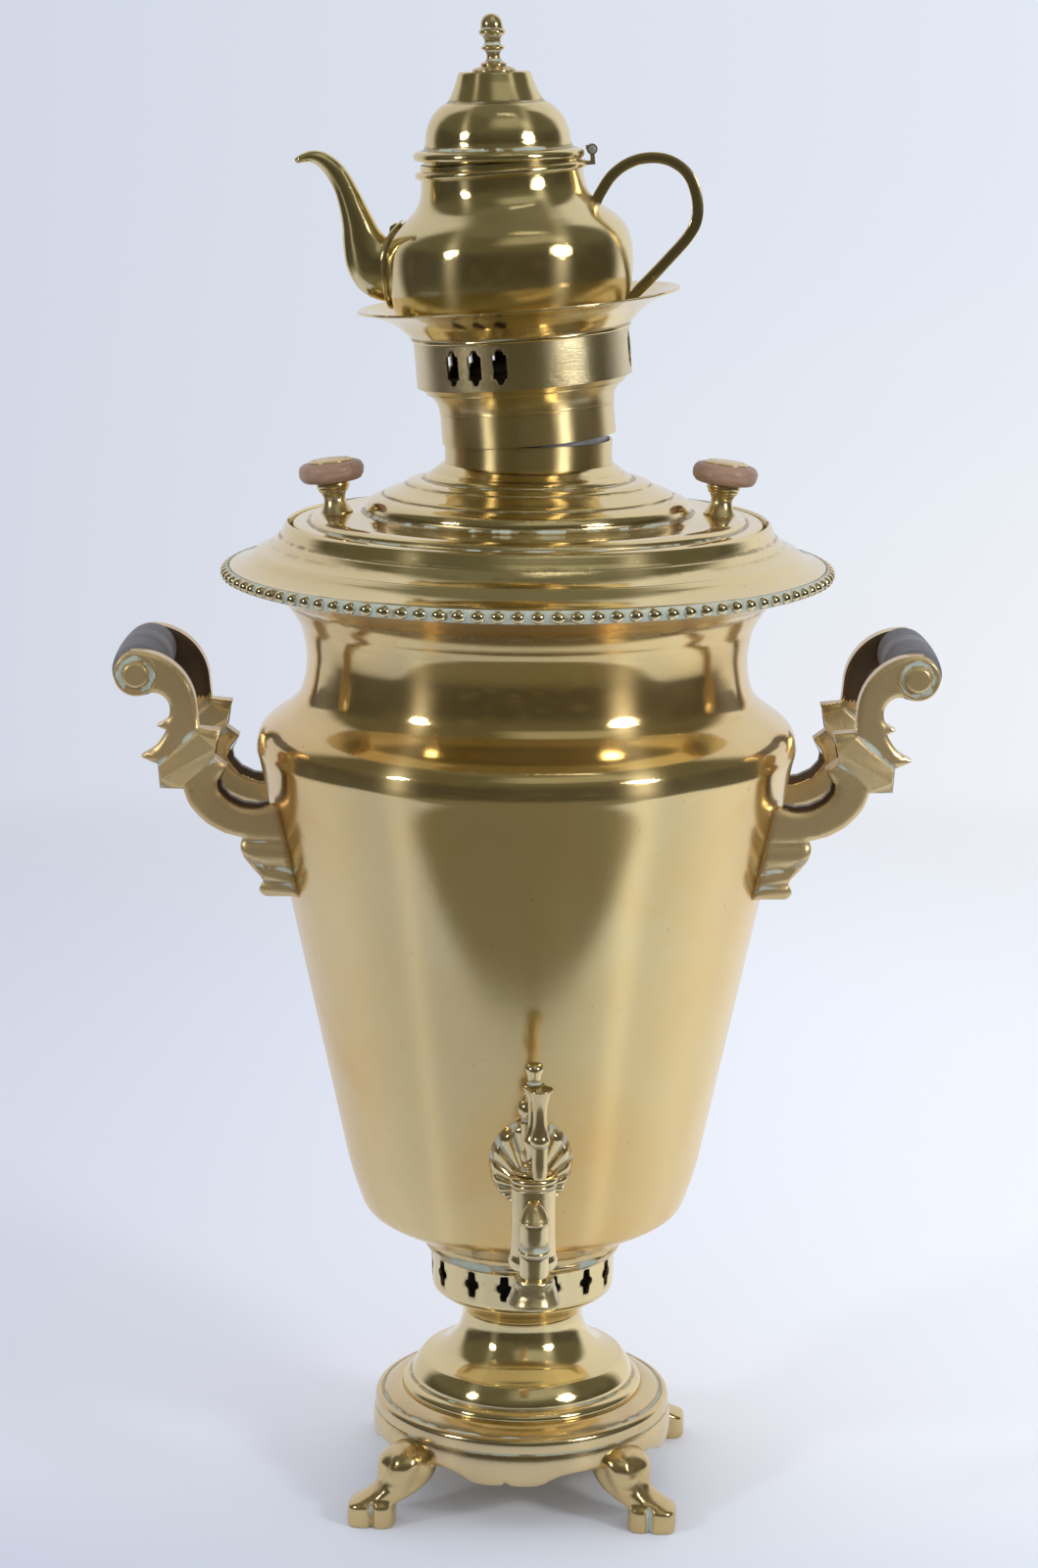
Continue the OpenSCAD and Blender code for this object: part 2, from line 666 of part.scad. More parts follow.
module urn_body()
  color(brass)
    difference() {
      union() {
        turned_sheet(urn_profile, urn_wall, urn_z, ridge_z);
        translate([0, 0, urn_z])
          difference() {
            cylinder(r = urn_foot_r + 0.4, h = urn_wall);
            translate([0, 0, -past]) cylinder(r = tube_foot_r, h = urn_wall + 2 * past);
          }
      }
      tap_hole();
    }

// Levels of the seams over the shoulder and under the flare
neck_foot = ridge_z + 0.72 * shoulder_h;
neck_head = neck_z + 0.4 * flare_h;

module urn_shoulder()
  color(brass) turned_sheet(urn_profile, urn_wall, ridge_z, neck_foot);

module urn_neck()
  color(brass) turned_sheet(urn_profile, urn_wall, neck_foot, neck_head);

module urn_flare()
  color(brass) turned_sheet(urn_profile, urn_wall, neck_head, bead_z);

bead_count = floor(2 * PI * bead_core_r / bead_pitch);

module bead_ring()
  color(brass) {
    turned([[bead_core_r - 2, bead_z], [bead_core_r, bead_z],
      [bead_core_r, brim_z], [bead_core_r - 2, brim_z]]);
    for (i = [0 : bead_count - 1])
      rotate([0, 0, i * 360 / bead_count])
        translate([bead_core_r + 0.2, 0, bead_z + bead_h / 2]) sphere(d = bead_d, $fn = 10);
  }

module brim_ring()
  color(brass) {
    turned_sheet(brim_profile, urn_wall, brim_z, lip_z);
    // Ledge that the lid rests on
    turned([[opening_r - ledge_w, ledge_z - urn_wall], [opening_r + 1.2, ledge_z - urn_wall],
      [opening_r + 1.2, ledge_z], [opening_r - ledge_w, ledge_z]]);
  }

// ---- Tap ----

passage_r = 3.4;
shank_r = 7.4;
barrel_top = tap_z + 13;
barrel_foot = barrel_top - barrel_h;
nozzle_h = 11.5;
spout_r = 6.2;

module tap_frame() rotate([0, 0, tap_turn]) children();

// Oval backplate with raised rays, bedded on the urn
module tap_escutcheon() {
  half_w = 17.8;
  half_h = 21;
  rays = 20;
  z0 = tap_z + 12;
  slope = atan((body_r - bowl_r) / side_h);
  color(cast_brass)
    difference() {
      tap_frame()
        translate([0, -mix(bowl_r, body_r, (z0 - bowl_z) / side_h) + 1.5, z0])
          rotate([90 - slope, 0, 0]) {
            linear_extrude(4.4)
              polygon([for (a = [0 : 10 : 350]) [half_w * cos(a), half_h * sin(a)]]);
            linear_extrude(5.8)
              for (i = [0 : rays - 1])
                polygon([
                  for (q = [[0.25, -4], [0.93, -6], [0.97, 0], [0.93, 6], [0.25, 4]])
                    let(a = i * 360 / rays + q[1]) q[0] * [half_w * cos(a), half_h * sin(a)]
                ]);
          }
      core(urn_profile, urn_z, bead_z);
      tap_frame() translate([0, 0, tap_z]) rotate([90, 0, 0]) cylinder(r = shank_r, h = tap_reach);
    }
}

barrel_outline = [
  [0, 0], [barrel_r - 1, 0], [barrel_r - 0.6, 1], [barrel_r + 0.6, 2.4], [barrel_r + 0.7, 4.4],
  [barrel_r, 6.6], [barrel_r - 0.2, barrel_h / 2], [barrel_r, barrel_h - 4],
  [barrel_r + 0.1, barrel_h - 3], [barrel_r + 0.8, barrel_h - 2.4],
  [barrel_r + 0.8, barrel_h - 0.6], [barrel_r + 0.2, barrel_h], [0, barrel_h]
];

// Barrel and shank in one casting
module tap_barrel()
  color(cast_brass)
    difference() {
      tap_frame() {
        translate([0, -tap_reach, barrel_foot])
          turned(barrel_outline);
        translate([0, 0, tap_z]) rotate([90, 0, 0]) cylinder(r = shank_r, h = tap_reach);
      }
      core(urn_profile, urn_z, bead_z);
      tap_frame() {
        translate([0, -tap_reach, barrel_foot - past])
          cylinder(r = plug_r + run_clear, h = barrel_h + 2 * past);
        translate([0, 0, tap_z])
          rotate([90, 0, 0]) cylinder(r = passage_r, h = tap_reach + barrel_r + past);
      }
    }

// Elbow and falling tube of the spout, soldered to the front of the barrel
module tap_spout()
  color(cast_brass)
    tap_frame()
      translate([0, -tap_reach, 0])
        difference() {
          union() {
            translate([0, -spout_out, barrel_foot]) cylinder(r = spout_r, h = tap_z - barrel_foot);
            translate([0, -spout_out, tap_z]) sphere(r = spout_r);
            translate([0, 0, tap_z]) rotate([90, 0, 0]) cylinder(r = spout_r, h = spout_out);
            for (z = [barrel_foot + 10.5, tap_z - 1])
              translate([0, -spout_out, z]) cylinder(r = spout_r + 0.6, h = 1.2);
          }
          translate([0, 0, barrel_foot]) turned(barrel_outline);
          translate([0, -spout_out, barrel_foot - past])
            cylinder(r = passage_r, h = tap_z - barrel_foot + past);
          translate([0, 0, tap_z]) rotate([90, 0, 0]) cylinder(r = passage_r, h = spout_out);
        }

module tap_nozzle()
  color(cast_brass)
    tap_frame()
      translate([0, -tap_reach - spout_out, barrel_foot - nozzle_h])
        turned(concat(
          [[passage_r + 3.6, 0], [nozzle_r, 0], [nozzle_r, 1.2]],
          curve([[nozzle_r - 0.8, 2.4], [nozzle_r - 2.2, 5.2], [nozzle_r - 3, 9],
            [nozzle_r - 3, nozzle_h]], 4),
          [[passage_r, nozzle_h], [passage_r, 6]]
        ));

module tap_plug()
  color(brass)
    tap_frame()
      translate([0, -tap_reach, 0])
        rotate([0, 0, key_turn])
          difference() {
            union() {
              translate([0, 0, barrel_foot + 1]) cylinder(r = plug_r, h = barrel_h - 1);
              translate([0, 0, barrel_top + rest_gap]) cylinder(r = plug_r + 1.6, h = 1.4);
              translate([0, 0, barrel_top]) cylinder(r = plug_r - 1, h = 4);
            }
            translate([-barrel_r, 0, tap_z])
              rotate([0, 90, 0]) cylinder(r = passage_r - 0.4, h = 2 * barrel_r);
          }

// Key with a turned stem and two flower-shaped arms that hang from a bar
module tap_key() {
  z0 = barrel_top + 4;
  top = barrel_top + key_h;
  stem = [[0, z0], [5, z0], [5.4, z0 + 1.4], [3.4, z0 + 4], [3, z0 + 10], [4, z0 + 14],
    [2.8, z0 + 18], [2.6, top - 16], [4.8, top - 10], [4.8, top - 8.6], [2.6, top - 7.6],
    [2.2, top - 5.4], [3.6, top - 2.2], [2.8, top - 0.6], [0, top]];
  arm_foot = barrel_top + 1.4;
  arm_top = barrel_top + 44;
  arm = [[0, arm_foot], [2.4, arm_foot + 0.8], [3.6, arm_foot + 3], [3.9, arm_foot + 8],
    [3.9, arm_foot + 19], [4.4, arm_foot + 22], [3.8, arm_foot + 24.5], [3.2, arm_foot + 30],
    [3.6, arm_foot + 36], [5, arm_top - 1.6], [6.2, arm_top - 0.8], [6.2, arm_top], [0, arm_top]];
  color(cast_brass)
    tap_frame()
      translate([0, -tap_reach, 0])
        rotate([0, 0, key_turn]) {
          turned(stem);
          for (s = [-1, 1]) translate([0, s * key_arm, 0]) turned(arm);
          // Scrolls that join the arms to the stem
          for (s = [-1, 1], q = [[z0 + 5, arm_foot + 10, -3], [top - 19, arm_foot + 28, 4]])
            rotate([90, 0, 90])
              translate([0, 0, -2.2])
                linear_extrude(4.4)
                  polygon(strip(curve([[0, q[0]], [s * key_arm / 3, q[0] + q[2] / 2],
                    [s * key_arm * 0.7, mix(q[0], q[1], 0.6) + q[2] / 2], [s * key_arm, q[1]]], 4), 4));
        }
}

// ---- Handles ----

// Side view of a bracket in millimetres at its usual height, with the rod at the origin
bracket_shape = concat(
  // Outer back of the C
  arc([0, -15.6], 25.6, 84, 176, 12),
  // Spurs on the inner side of the faceted block
  [[-26.4, -23.4], [-35.6, -24.6], [-32.8, -34.6], [-38.6, -40.2]],
  // Inner curve of the lower arm, down to the urn
  curve([[-35.4, -44.6], [-34.8, -50], [-38.6, -55.4], [-45, -58.6], [-52, -59.2], [-58, -57.8]], 4),
  [[-90, -57.8], [-90, -99]],
  // Leaf foot against the urn
  curve([[-60, -98.4], [-55, -97.6], [-52.2, -95], [-53.8, -91.4], [-52.4, -88.4]], 3),
  curve([[-49.4, -85.4], [-46, -80.6], [-44.4, -75.2], [-45, -71.6]], 3),
  curve([[-37.4, -69.6], [-29, -65], [-22.4, -57.4], [-19.6, -50.4]], 4),
  // Faceted block and the outer spurs
  [[-9.6, -50], [-9, -39.6], [-5, -37.8]],
  curve([[-1.8, -36.2], [-7.8, -32], [-11.6, -26.6], [-12.8, -23.6]], 3),
  [[-10.6, -22.2]],
  arc([-6.8, -15.6], 7.6, 215, 96, 10)
);
// Raised block where the bracket's two curves meet
block_shape = [[-9, -38.6], [-25, -24.2], [-35.2, -28.2], [-34, -36.4], [-20, -50], [-9.8, -50]];

// Points of a bracket at its real height and place: x outward from the urn's axis, y up from the rod
function placed(shape) =
  [for (p = shape) [handle_reach, 0] + bracket_drop / 98.4 * p];

module bracket(side_x, side_y) {
  bore = rod_r;
  recess_r = boss_r - 2.4;
  color(cast_brass)
    difference() {
      translate([0, side_y * bracket_span / 2, grip_z])
        mirror([side_x < 0 ? 1 : 0, 0, 0])
          rotate([90, 0, 0]) {
            translate([0, 0, -bracket_t / 2])
              linear_extrude(bracket_t)
                polygon(concat(arc([handle_reach, 0], boss_r, -120, 70, 14), placed(bracket_shape)));
            translate([0, 0, -bracket_t / 2 - 1.2])
              linear_extrude(bracket_t + 2.4) polygon(placed(block_shape));
          }
      core(urn_profile, urn_z, bead_z);
      translate([side_x * handle_reach, side_y * bracket_span / 2, grip_z])
        rotate([90, 0, 0]) cylinder(r = bore, h = 2 * bracket_t, center = true);
      // Recess round the rod's head, on the outer face
      translate([side_x * handle_reach, side_y * (bracket_span + bracket_t) / 2, grip_z])
        rotate([90, 0, 0]) cylinder(r = recess_r, h = 3, center = true);
    }
}

module bracket_front_left() bracket(-1, -1);
module bracket_rear_left() bracket(-1, 1);
module bracket_front_right() bracket(1, -1);
module bracket_rear_right() bracket(1, 1);

module handle_rod(side_x) {
  half = bracket_span / 2 + bracket_t / 2;
  head_r = boss_r - 4;
  color(brass)
    translate([side_x * handle_reach, 0, grip_z])
      rotate([90, 0, 0]) {
        cylinder(r = rod_r, h = 2 * half, center = true);
        for (s = [-1, 1])
          translate([0, 0, s * half]) cylinder(r = head_r, h = 3, center = true);
      }
}

module handle_rod_left() handle_rod(-1);
module handle_rod_right() handle_rod(1);

// Turned wooden grip, ridged near its ends
module grip(side_x) {
  half = (bracket_span - bracket_t) / 2 - rest_gap;
  end_r = grip_r - 3.4;
  bore = rod_r + run_clear;
  back = [[end_r, -half], [end_r + 0.4, -half + 2], [end_r + 0.2, -half + 4],
    [mix(end_r, grip_r, 0.4), -half + 8], [mix(end_r, grip_r, 0.85), -half * 0.45], [grip_r, 0]];
  outline = curve(concat(back, [for (i = [len(back) - 2 : -1 : 0]) [back[i][0], -back[i][1]]]), 3);
  color(black_wood)
    translate([side_x * handle_reach, 0, grip_z])
      rotate([90, 0, 0]) turned(concat([[bore, -half]], outline, [[bore, half]]));
}

module grip_left() grip(-1);
module grip_right() grip(1);

// ---- Lid ----

module lid_dome()
  color(brass)
    turned_sheet(lid_profile, lid_wall, lid_z, lid_top_z);

module lid_collar()
  color(brass)
    turned([[lid_collar_r - lid_wall, lid_top_z], [lid_collar_r, lid_top_z],
      [lid_collar_r, collar_top_z], [lid_collar_r - lid_wall, collar_top_z]]);

// Frame of a knob: its foot on the lid, leaning outward
knob_z = lid_z + 6.1;
module knob_frame(side_x)
  translate([side_x * (knob_reach - 0.5), 0, knob_z])
    rotate([0, side_x * knob_lean, 0]) children();

module knob_stem(side_x)
  color(cast_brass)
    difference() {
      knob_frame(side_x)
        turned(concat(
          [[0, -1.6], [7, -1.6], [7, 0.6]],
          curve([[6.6, 1.6], [5.2, 0.34 * knob_stem_h], [4.6, 0.5 * knob_stem_h],
            [5.4, 0.7 * knob_stem_h], [7.2, 0.9 * knob_stem_h], [7.2, knob_stem_h]], 3),
          [[0, knob_stem_h]]
        ));
      core(lid_profile, lid_z, lid_top_z);
    }

module knob_button(side_x)
  color(brown_wood)
    knob_frame(side_x)
      turned(concat(
        [[0, knob_stem_h], [button_r - 3, knob_stem_h]],
        curve([[button_r - 1, knob_stem_h + 0.08 * button_t], [button_r, knob_stem_h + 0.36 * button_t],
          [button_r, knob_stem_h + 0.6 * button_t],
          [button_r - 1.2, knob_stem_h + 0.9 * button_t], [button_r - 3.4, knob_stem_h + button_t]], 3),
        [[0, knob_stem_h + button_t]]
      ));

module knob_cap(side_x)
  color(brass)
    knob_frame(side_x)
      translate([0, 0, knob_stem_h + button_t])
        turned([[0, 0], [button_r - 4.6, 0], [button_r - 5, 0.7], [button_r - 7, 1.2], [0, 1.5]]);

module knob_stem_left() knob_stem(-1);
module knob_stem_right() knob_stem(1);
module knob_button_left() knob_button(-1);
module knob_button_right() knob_button(1);
module knob_cap_left() knob_cap(-1);
module knob_cap_right() knob_cap(1);

// ---- Crown ----

module crown_frame() translate([0, 0, crown_z]) rotate([0, -crown_tilt, 0]) children();

module crown_ring()
  color(brass) crown_frame() turned_sheet(cove_profile, crown_wall, 0, gallery_t);

// Slot with a narrower rounded lobe at each end, cut along -Y
module slot() {
  lobe = slot_wide * 0.27;
  flat = slot_tall / 2 - 2.4 * lobe;
  rotate([90, 0, 0])
    linear_extrude(gallery_r + past)
      polygon(concat(
        [[slot_wide / 2, -flat], [slot_wide / 2, flat]],
        arc([0, slot_tall / 2 - lobe], lobe, -20, 200, 10),
        [[-slot_wide / 2, flat], [-slot_wide / 2, -flat]],
        arc([0, -slot_tall / 2 + lobe], lobe, 160, 380, 10)
      ));
}

module crown_gallery() {
  slot_step = 13.6;
  first = -26;
  color(brass)
    crown_frame()
      difference() {
        translate([0, 0, gallery_t]) cylinder(r = gallery_r, h = gallery_h);
        translate([0, 0, gallery_t - past])
          cylinder(r = gallery_r - crown_wall, h = gallery_h + 2 * past);
        for (group = [0 : 2], k = [-1 : 1])
          rotate([0, 0, first + group * 120 + k * slot_step])
            translate([0, 0, gallery_t + gallery_h / 2 + 0.4]) slot();
      }
}

// Plate inside the gallery that the teapot stands on
module crown_ledge()
  color(brass)
    crown_frame()
      translate([0, 0, ledge_t])
        difference() {
          cylinder(r = gallery_r - crown_wall, h = crown_wall);
          translate([0, 0, -past]) cylinder(r = smoke_r, h = crown_wall + 2 * past);
        }

module crown_dish()
  color(brass)
    crown_frame()
      turned(concat([[gallery_r - crown_wall, dish_t]], sheet(dish_profile, crown_wall)));

// ---- Teapot ----

module pot_frame() crown_frame() translate([-pot_shift, 0, pot_seat]) children();

module pot_core() core(pot_profile, 0, pot_h);

spout_hole_z = 0.46 * pot_h;

module teapot_body()
  color(brass)
    pot_frame()
      difference() {
        union() {
          turned(sheet(pot_profile, pot_wall));
          cylinder(r = pot_foot_r, h = pot_wall);
        }
        // Strainer holes behind the spout
        for (z = [-1 : 1], a = [-1 : 1])
          rotate([0, 0, 180 + a * 7])
            translate([0, 0, spout_hole_z + z * 7])
              rotate([0, 90, 0]) cylinder(r = 2, h = pot_r + 5, $fn = 24);
      }

neck_ring_outline = [
  [pot_neck_r, pot_h - 6], [pot_neck_r + 1.2, pot_h - 6], [pot_neck_r + 2.2, pot_h - 5],
  [pot_neck_r + 2.3, pot_h - 4], [pot_neck_r + 1.4, pot_h - 2.8], [pot_neck_r, pot_h - 2.4]
];

module teapot_neck_ring()
  color(brass) pot_frame() turned(neck_ring_outline);

// Shares by which the spout and the handle grow with the pot
pot_scale = pot_h / 76;
spout_scale = spout_reach / 87.3;
// Stations of the spout: reach from the axis, height, and the half height of the section
spout_stations = [
  for (p = [[-44, 34.6, 16], [-50.9, 34.8, 16.4], [-56.4, 35.8, 14.8], [-60.6, 40.6, 10.8],
    [-62.7, 49.6, 7.9], [-64.3, 59.8, 5.9], [-67.4, 69.9, 4.7], [-71.9, 78, 4.1],
    [-77, 82.4, 3.1], [-82.9, 83.4, 2.1], [-87.3, 81.9, 1.2]])
    [p[0] * spout_scale, p[1] * pot_scale, p[2] * pot_scale]
];

function spout_rings(thin) =
  let(p = curve(spout_stations, 3))
  [for (i = [0 : len(p) - 1])
    let(
      n = side([for (q = p) [q[0], q[1]]], i),
      half = max(p[i][2] - thin, 0.5),
      // The section is narrower across the teapot than along it
      across = half * mix(0.62, 1, min(1, max(0, (-p[i][0] / spout_scale - 50) / 18)))
    )
      [for (j = [0 : 19])
        let(a = j * 18)
          [p[i][0] + half * cos(a) * n[0], -across * sin(a), p[i][1] + half * cos(a) * n[1]]]];

module teapot_spout()
  color(brass)
    pot_frame()
      difference() {
        loft(spout_rings(0));
        loft(spout_rings(1.1));
        pot_core();
      }

// Raised rim round the root of the spout
module teapot_spout_flange()
  color(brass)
    pot_frame()
      difference() {
        translate([-pot_r - 1, 0, spout_stations[1][1]])
          rotate([0, 90, 0])
            linear_extrude(pot_r / 6)
              polygon([for (a = [0 : 10 : 350]) pot_scale * [18.6 * cos(a), 12 * sin(a)]]);
        pot_core();
        loft(spout_rings(0));
      }

// Middle of the strap: reach from the axis and height
handle_line = let(u = (grip_reach - strap_t / 2) / 82.2)
  [for (p = [[32, 44], [37.4, 51.8], [40.9, 58], [46.8, 65.5], [54.5, 70.3], [63.6, 71.8],
    [72.5, 69.6], [79.6, 63.2], [82.2, 53.3], [81.7, 44.3], [77.6, 37.2], [68.6, 28.6],
    [58.6, 19.6], [47, 9.6]]) [p[0] * u, p[1] * pot_scale]];

module teapot_handle()
  color(cast_brass)
    pot_frame()
      difference() {
        rotate([90, 0, 0])
          translate([0, 0, -strap_w / 2])
            linear_extrude(strap_w) polygon(strip(curve(handle_line, 4), strap_t));
        pot_core();
      }

// Hinge at the right of the neck
pin_r = 1.1;
hinge_x = pot_neck_r + 4.4;
hinge_z = pot_h + 1.4;
leaf_w = 4;

module knuckle(y0, w)
  translate([hinge_x, y0, hinge_z])
    rotate([-90, 0, 0])
      difference() {
        cylinder(r = pin_r + 1.2, h = w, $fn = 32);
        translate([0, 0, -past]) cylinder(r = pin_r + run_clear, h = w + 2 * past, $fn = 32);
      }

module teapot_hinge_leaf()
  color(cast_brass)
    pot_frame() {
      for (s = [-1, 1]) {
        knuckle(s > 0 ? leaf_w / 2 + 0.15 : -leaf_w * 1.5 - 0.15, leaf_w);
        translate([hinge_x - 0.9, s > 0 ? leaf_w / 2 + 0.15 : -leaf_w * 1.5 - 0.15, pot_h - 5])
          cube([1.8, leaf_w, 4.6]);
      }
      difference() {
        translate([pot_neck_r + 1.4, -leaf_w * 1.5 - 0.15, pot_h - 5])
          cube([3.9, leaf_w * 3 + 0.3, 1.6]);
        turned(neck_ring_outline);
      }
    }

module teapot_hinge_pin()
  color(brass)
    pot_frame()
      translate([hinge_x, 0, hinge_z])
        rotate([90, 0, 0]) cylinder(r = pin_r, h = leaf_w * 3 + 1.5, center = true, $fn = 32);

module cap_frame()
  pot_frame()
    translate([hinge_x, 0, hinge_z])
      rotate([0, lid_ajar, 0])
        translate([-hinge_x, 0, -hinge_z]) children();

cap_z = pot_h + rest_gap;

module teapot_lid()
  color(brass)
    cap_frame()
      translate([0, 0, cap_z])
        turned(concat(cap_profile,
          [[0, cap_h], [0, cap_h - pot_wall]],
          reversed([
            for (i = [0 : len(cap_profile) - 1]) cap_profile[i] + pot_wall * side(cap_profile, i)
          ])
        ));

module teapot_lid_leaf()
  color(cast_brass)
    cap_frame() {
      difference() {
        union() {
          knuckle(-leaf_w / 2, leaf_w);
          translate([cap_r - 1.5, -leaf_w / 2, cap_z + 1]) cube([hinge_x - cap_r + 1.5, leaf_w, 1.7]);
        }
        translate([hinge_x, 0, hinge_z])
          rotate([90, 0, 0]) cylinder(r = pin_r + run_clear, h = leaf_w + 2, center = true, $fn = 32);
        translate([0, 0, cap_z]) core(cap_profile, 0, cap_h);
      }
    }

module teapot_rosette()
  color(cast_brass)
    cap_frame()
      translate([0, 0, cap_z + cap_h])
        turned([[0, 0], [9.4, 0], [9, 0.8], [6.6, 1.9], [4, 2.3], [0, 2.3]]);

module teapot_finial() {
  f = [[0, 0], [5.4, 0], [5.6, 0.8], [3.4, 1.8], [2.9, 4], [3.2, 6], [4.9, 6.9], [4.9, 7.7], [3.7, 8.6],
    [3.9, 11.6], [5.4, 13.4], [5.7, 14.4], [4.6, 15.6], [4.3, 17.6], [3.4, 19.6], [2, 21.2], [0, 21.7]];
  color(cast_brass)
    cap_frame()
      translate([0, 0, cap_z + cap_h + 2.3])
        turned([for (p = f) [p[0], p[1] * (finial_h - 2.3) / 21.7]]);
}

foot_front_left();
foot_front_right();
foot_rear_left();
foot_rear_right();
base_apron();
base_flange();
base_bell();
vent_collar();
grate();
seat_ring();
fire_tube();
urn_body();
urn_shoulder();
urn_neck();
urn_flare();
bead_ring();
brim_ring();
tap_escutcheon();
tap_barrel();
tap_spout();
tap_nozzle();
tap_plug();
tap_key();
bracket_front_left();
bracket_rear_left();
bracket_front_right();
bracket_rear_right();
handle_rod_left();
handle_rod_right();
grip_left();
grip_right();
lid_dome();
lid_collar();
knob_stem_left();
knob_stem_right();
knob_button_left();
knob_button_right();
knob_cap_left();
knob_cap_right();
crown_ring();
crown_gallery();
crown_ledge();
crown_dish();
teapot_body();
teapot_neck_ring();
teapot_spout();
teapot_spout_flange();
teapot_handle();
teapot_hinge_leaf();
teapot_hinge_pin();
teapot_lid();
teapot_lid_leaf();
teapot_rosette();
teapot_finial();
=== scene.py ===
import math

import bmesh
import bpy
from mathutils import Matrix, Vector, noise
from mathutils.geometry import delaunay_2d_cdt


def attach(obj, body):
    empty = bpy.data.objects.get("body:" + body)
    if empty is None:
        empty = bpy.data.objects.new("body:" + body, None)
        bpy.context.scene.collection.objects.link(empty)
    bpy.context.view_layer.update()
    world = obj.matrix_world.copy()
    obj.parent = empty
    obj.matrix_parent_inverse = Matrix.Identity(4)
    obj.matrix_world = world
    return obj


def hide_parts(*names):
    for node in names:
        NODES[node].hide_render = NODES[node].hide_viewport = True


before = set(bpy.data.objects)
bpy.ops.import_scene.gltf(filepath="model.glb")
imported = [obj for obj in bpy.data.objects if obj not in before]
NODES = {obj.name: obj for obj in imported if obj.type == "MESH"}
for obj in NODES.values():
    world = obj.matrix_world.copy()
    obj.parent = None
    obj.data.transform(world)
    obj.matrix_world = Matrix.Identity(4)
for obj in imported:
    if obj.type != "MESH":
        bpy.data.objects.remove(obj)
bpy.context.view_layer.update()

# ---------------------------------------------------------------- levels, in millimetres
URN_Z, BEAD_Z, BRIM_Z, LID_Z = 120.8, 419.0, 424.6, 439.9
LID_TOP, COLLAR_TOP, CROWN_Z, TUBE_TOP = 468.9, 479.4, 482.77, 491.6
TAP_Z, GRIP_X, GRIP_Z = 165.4, 167.8, 381.0
BRACKET_Y, GRIP_HALF = 34.5, 28.2


def turn_x(deg):
    return Matrix.Rotation(math.radians(deg), 4, "X")


def turn_y(deg):
    return Matrix.Rotation(math.radians(deg), 4, "Y")


def turn_z(deg):
    return Matrix.Rotation(math.radians(deg), 4, "Z")


def shift(x, y, z):
    return Matrix.Translation((x, y, z))


CROWN = shift(0, 0, CROWN_Z) @ turn_y(-4.8)
POT = CROWN @ shift(-3, 0, 40.3)
HINGE = (39.1, 77.4)
LID_LEAN = Matrix(((1, 0, -0.03, -0.6), (0, 1, 0, 0), (0, 0, 1, 0), (0, 0, 0, 1)))
CAP = POT @ shift(HINGE[0], 0, HINGE[1]) @ turn_y(3) @ shift(-HINGE[0], 0, 74.0 - HINGE[1]) @ LID_LEAN
BASE = turn_z(-6)
TAP = turn_z(2.1) @ shift(0, -112, 0)
KEY = TAP @ turn_z(9)


# ---------------------------------------------------------------- materials
class Shader:
    """Short calls that add nodes to one material or world."""

    def __init__(self, owner):
        owner.use_nodes = True
        self.tree = owner.node_tree
        self.tree.nodes.clear()

    def put(self, kind, values=(), **props):
        node = self.tree.nodes.new("ShaderNode" + kind)
        for key, value in props.items():
            setattr(node, key, value)
        for key, value in dict(values).items():
            if isinstance(value, bpy.types.NodeSocket):
                self.tree.links.new(value, node.inputs[key])
            else:
                node.inputs[key].default_value = value
        return node

    def math(self, op, a, b=0.0, clamp=False):
        return self.put("Math", {0: a, 1: b}, operation=op, use_clamp=clamp).outputs[0]

    def times(self, a, b, clamp=False):
        return self.math("MULTIPLY", a, b, clamp)

    def plus(self, a, b, clamp=False):
        return self.math("ADD", a, b, clamp)

    def span(self, x, low, high, out_low=0.0, out_high=1.0, soft=True):
        kind = "SMOOTHSTEP" if soft else "LINEAR"
        return self.put(
            "MapRange", {0: x, 1: low, 2: high, 3: out_low, 4: out_high}, interpolation_type=kind
        ).outputs[0]

    def mix(self, fac, a, b):
        node = self.put("Mix", {0: fac}, data_type="RGBA")
        for socket, value in ((node.inputs[6], a), (node.inputs[7], b)):
            if isinstance(value, bpy.types.NodeSocket):
                self.tree.links.new(value, socket)
            else:
                socket.default_value = (*value, 1.0)
        return node.outputs[2]

    def place(self, scale=(1, 1, 1)):
        where = self.put("TexCoord").outputs["Object"]
        return self.put("Mapping", {0: where, 3: scale}).outputs[0]

    def noise(self, scale, detail=3.0, rough=0.55, at=None, warp=0.0):
        at = self.place() if at is None else at
        node = self.put("TexNoise", {"Vector": at, "Scale": scale, "Detail": detail,
                                     "Roughness": rough, "Distortion": warp})
        return node.outputs[0]

    def attribute(self, name):
        return self.put("Attribute", attribute_name=name).outputs["Fac"]


MATERIALS = {}


def material(name):
    mat = bpy.data.materials.new(name)
    MATERIALS[name] = mat
    return Shader(mat)


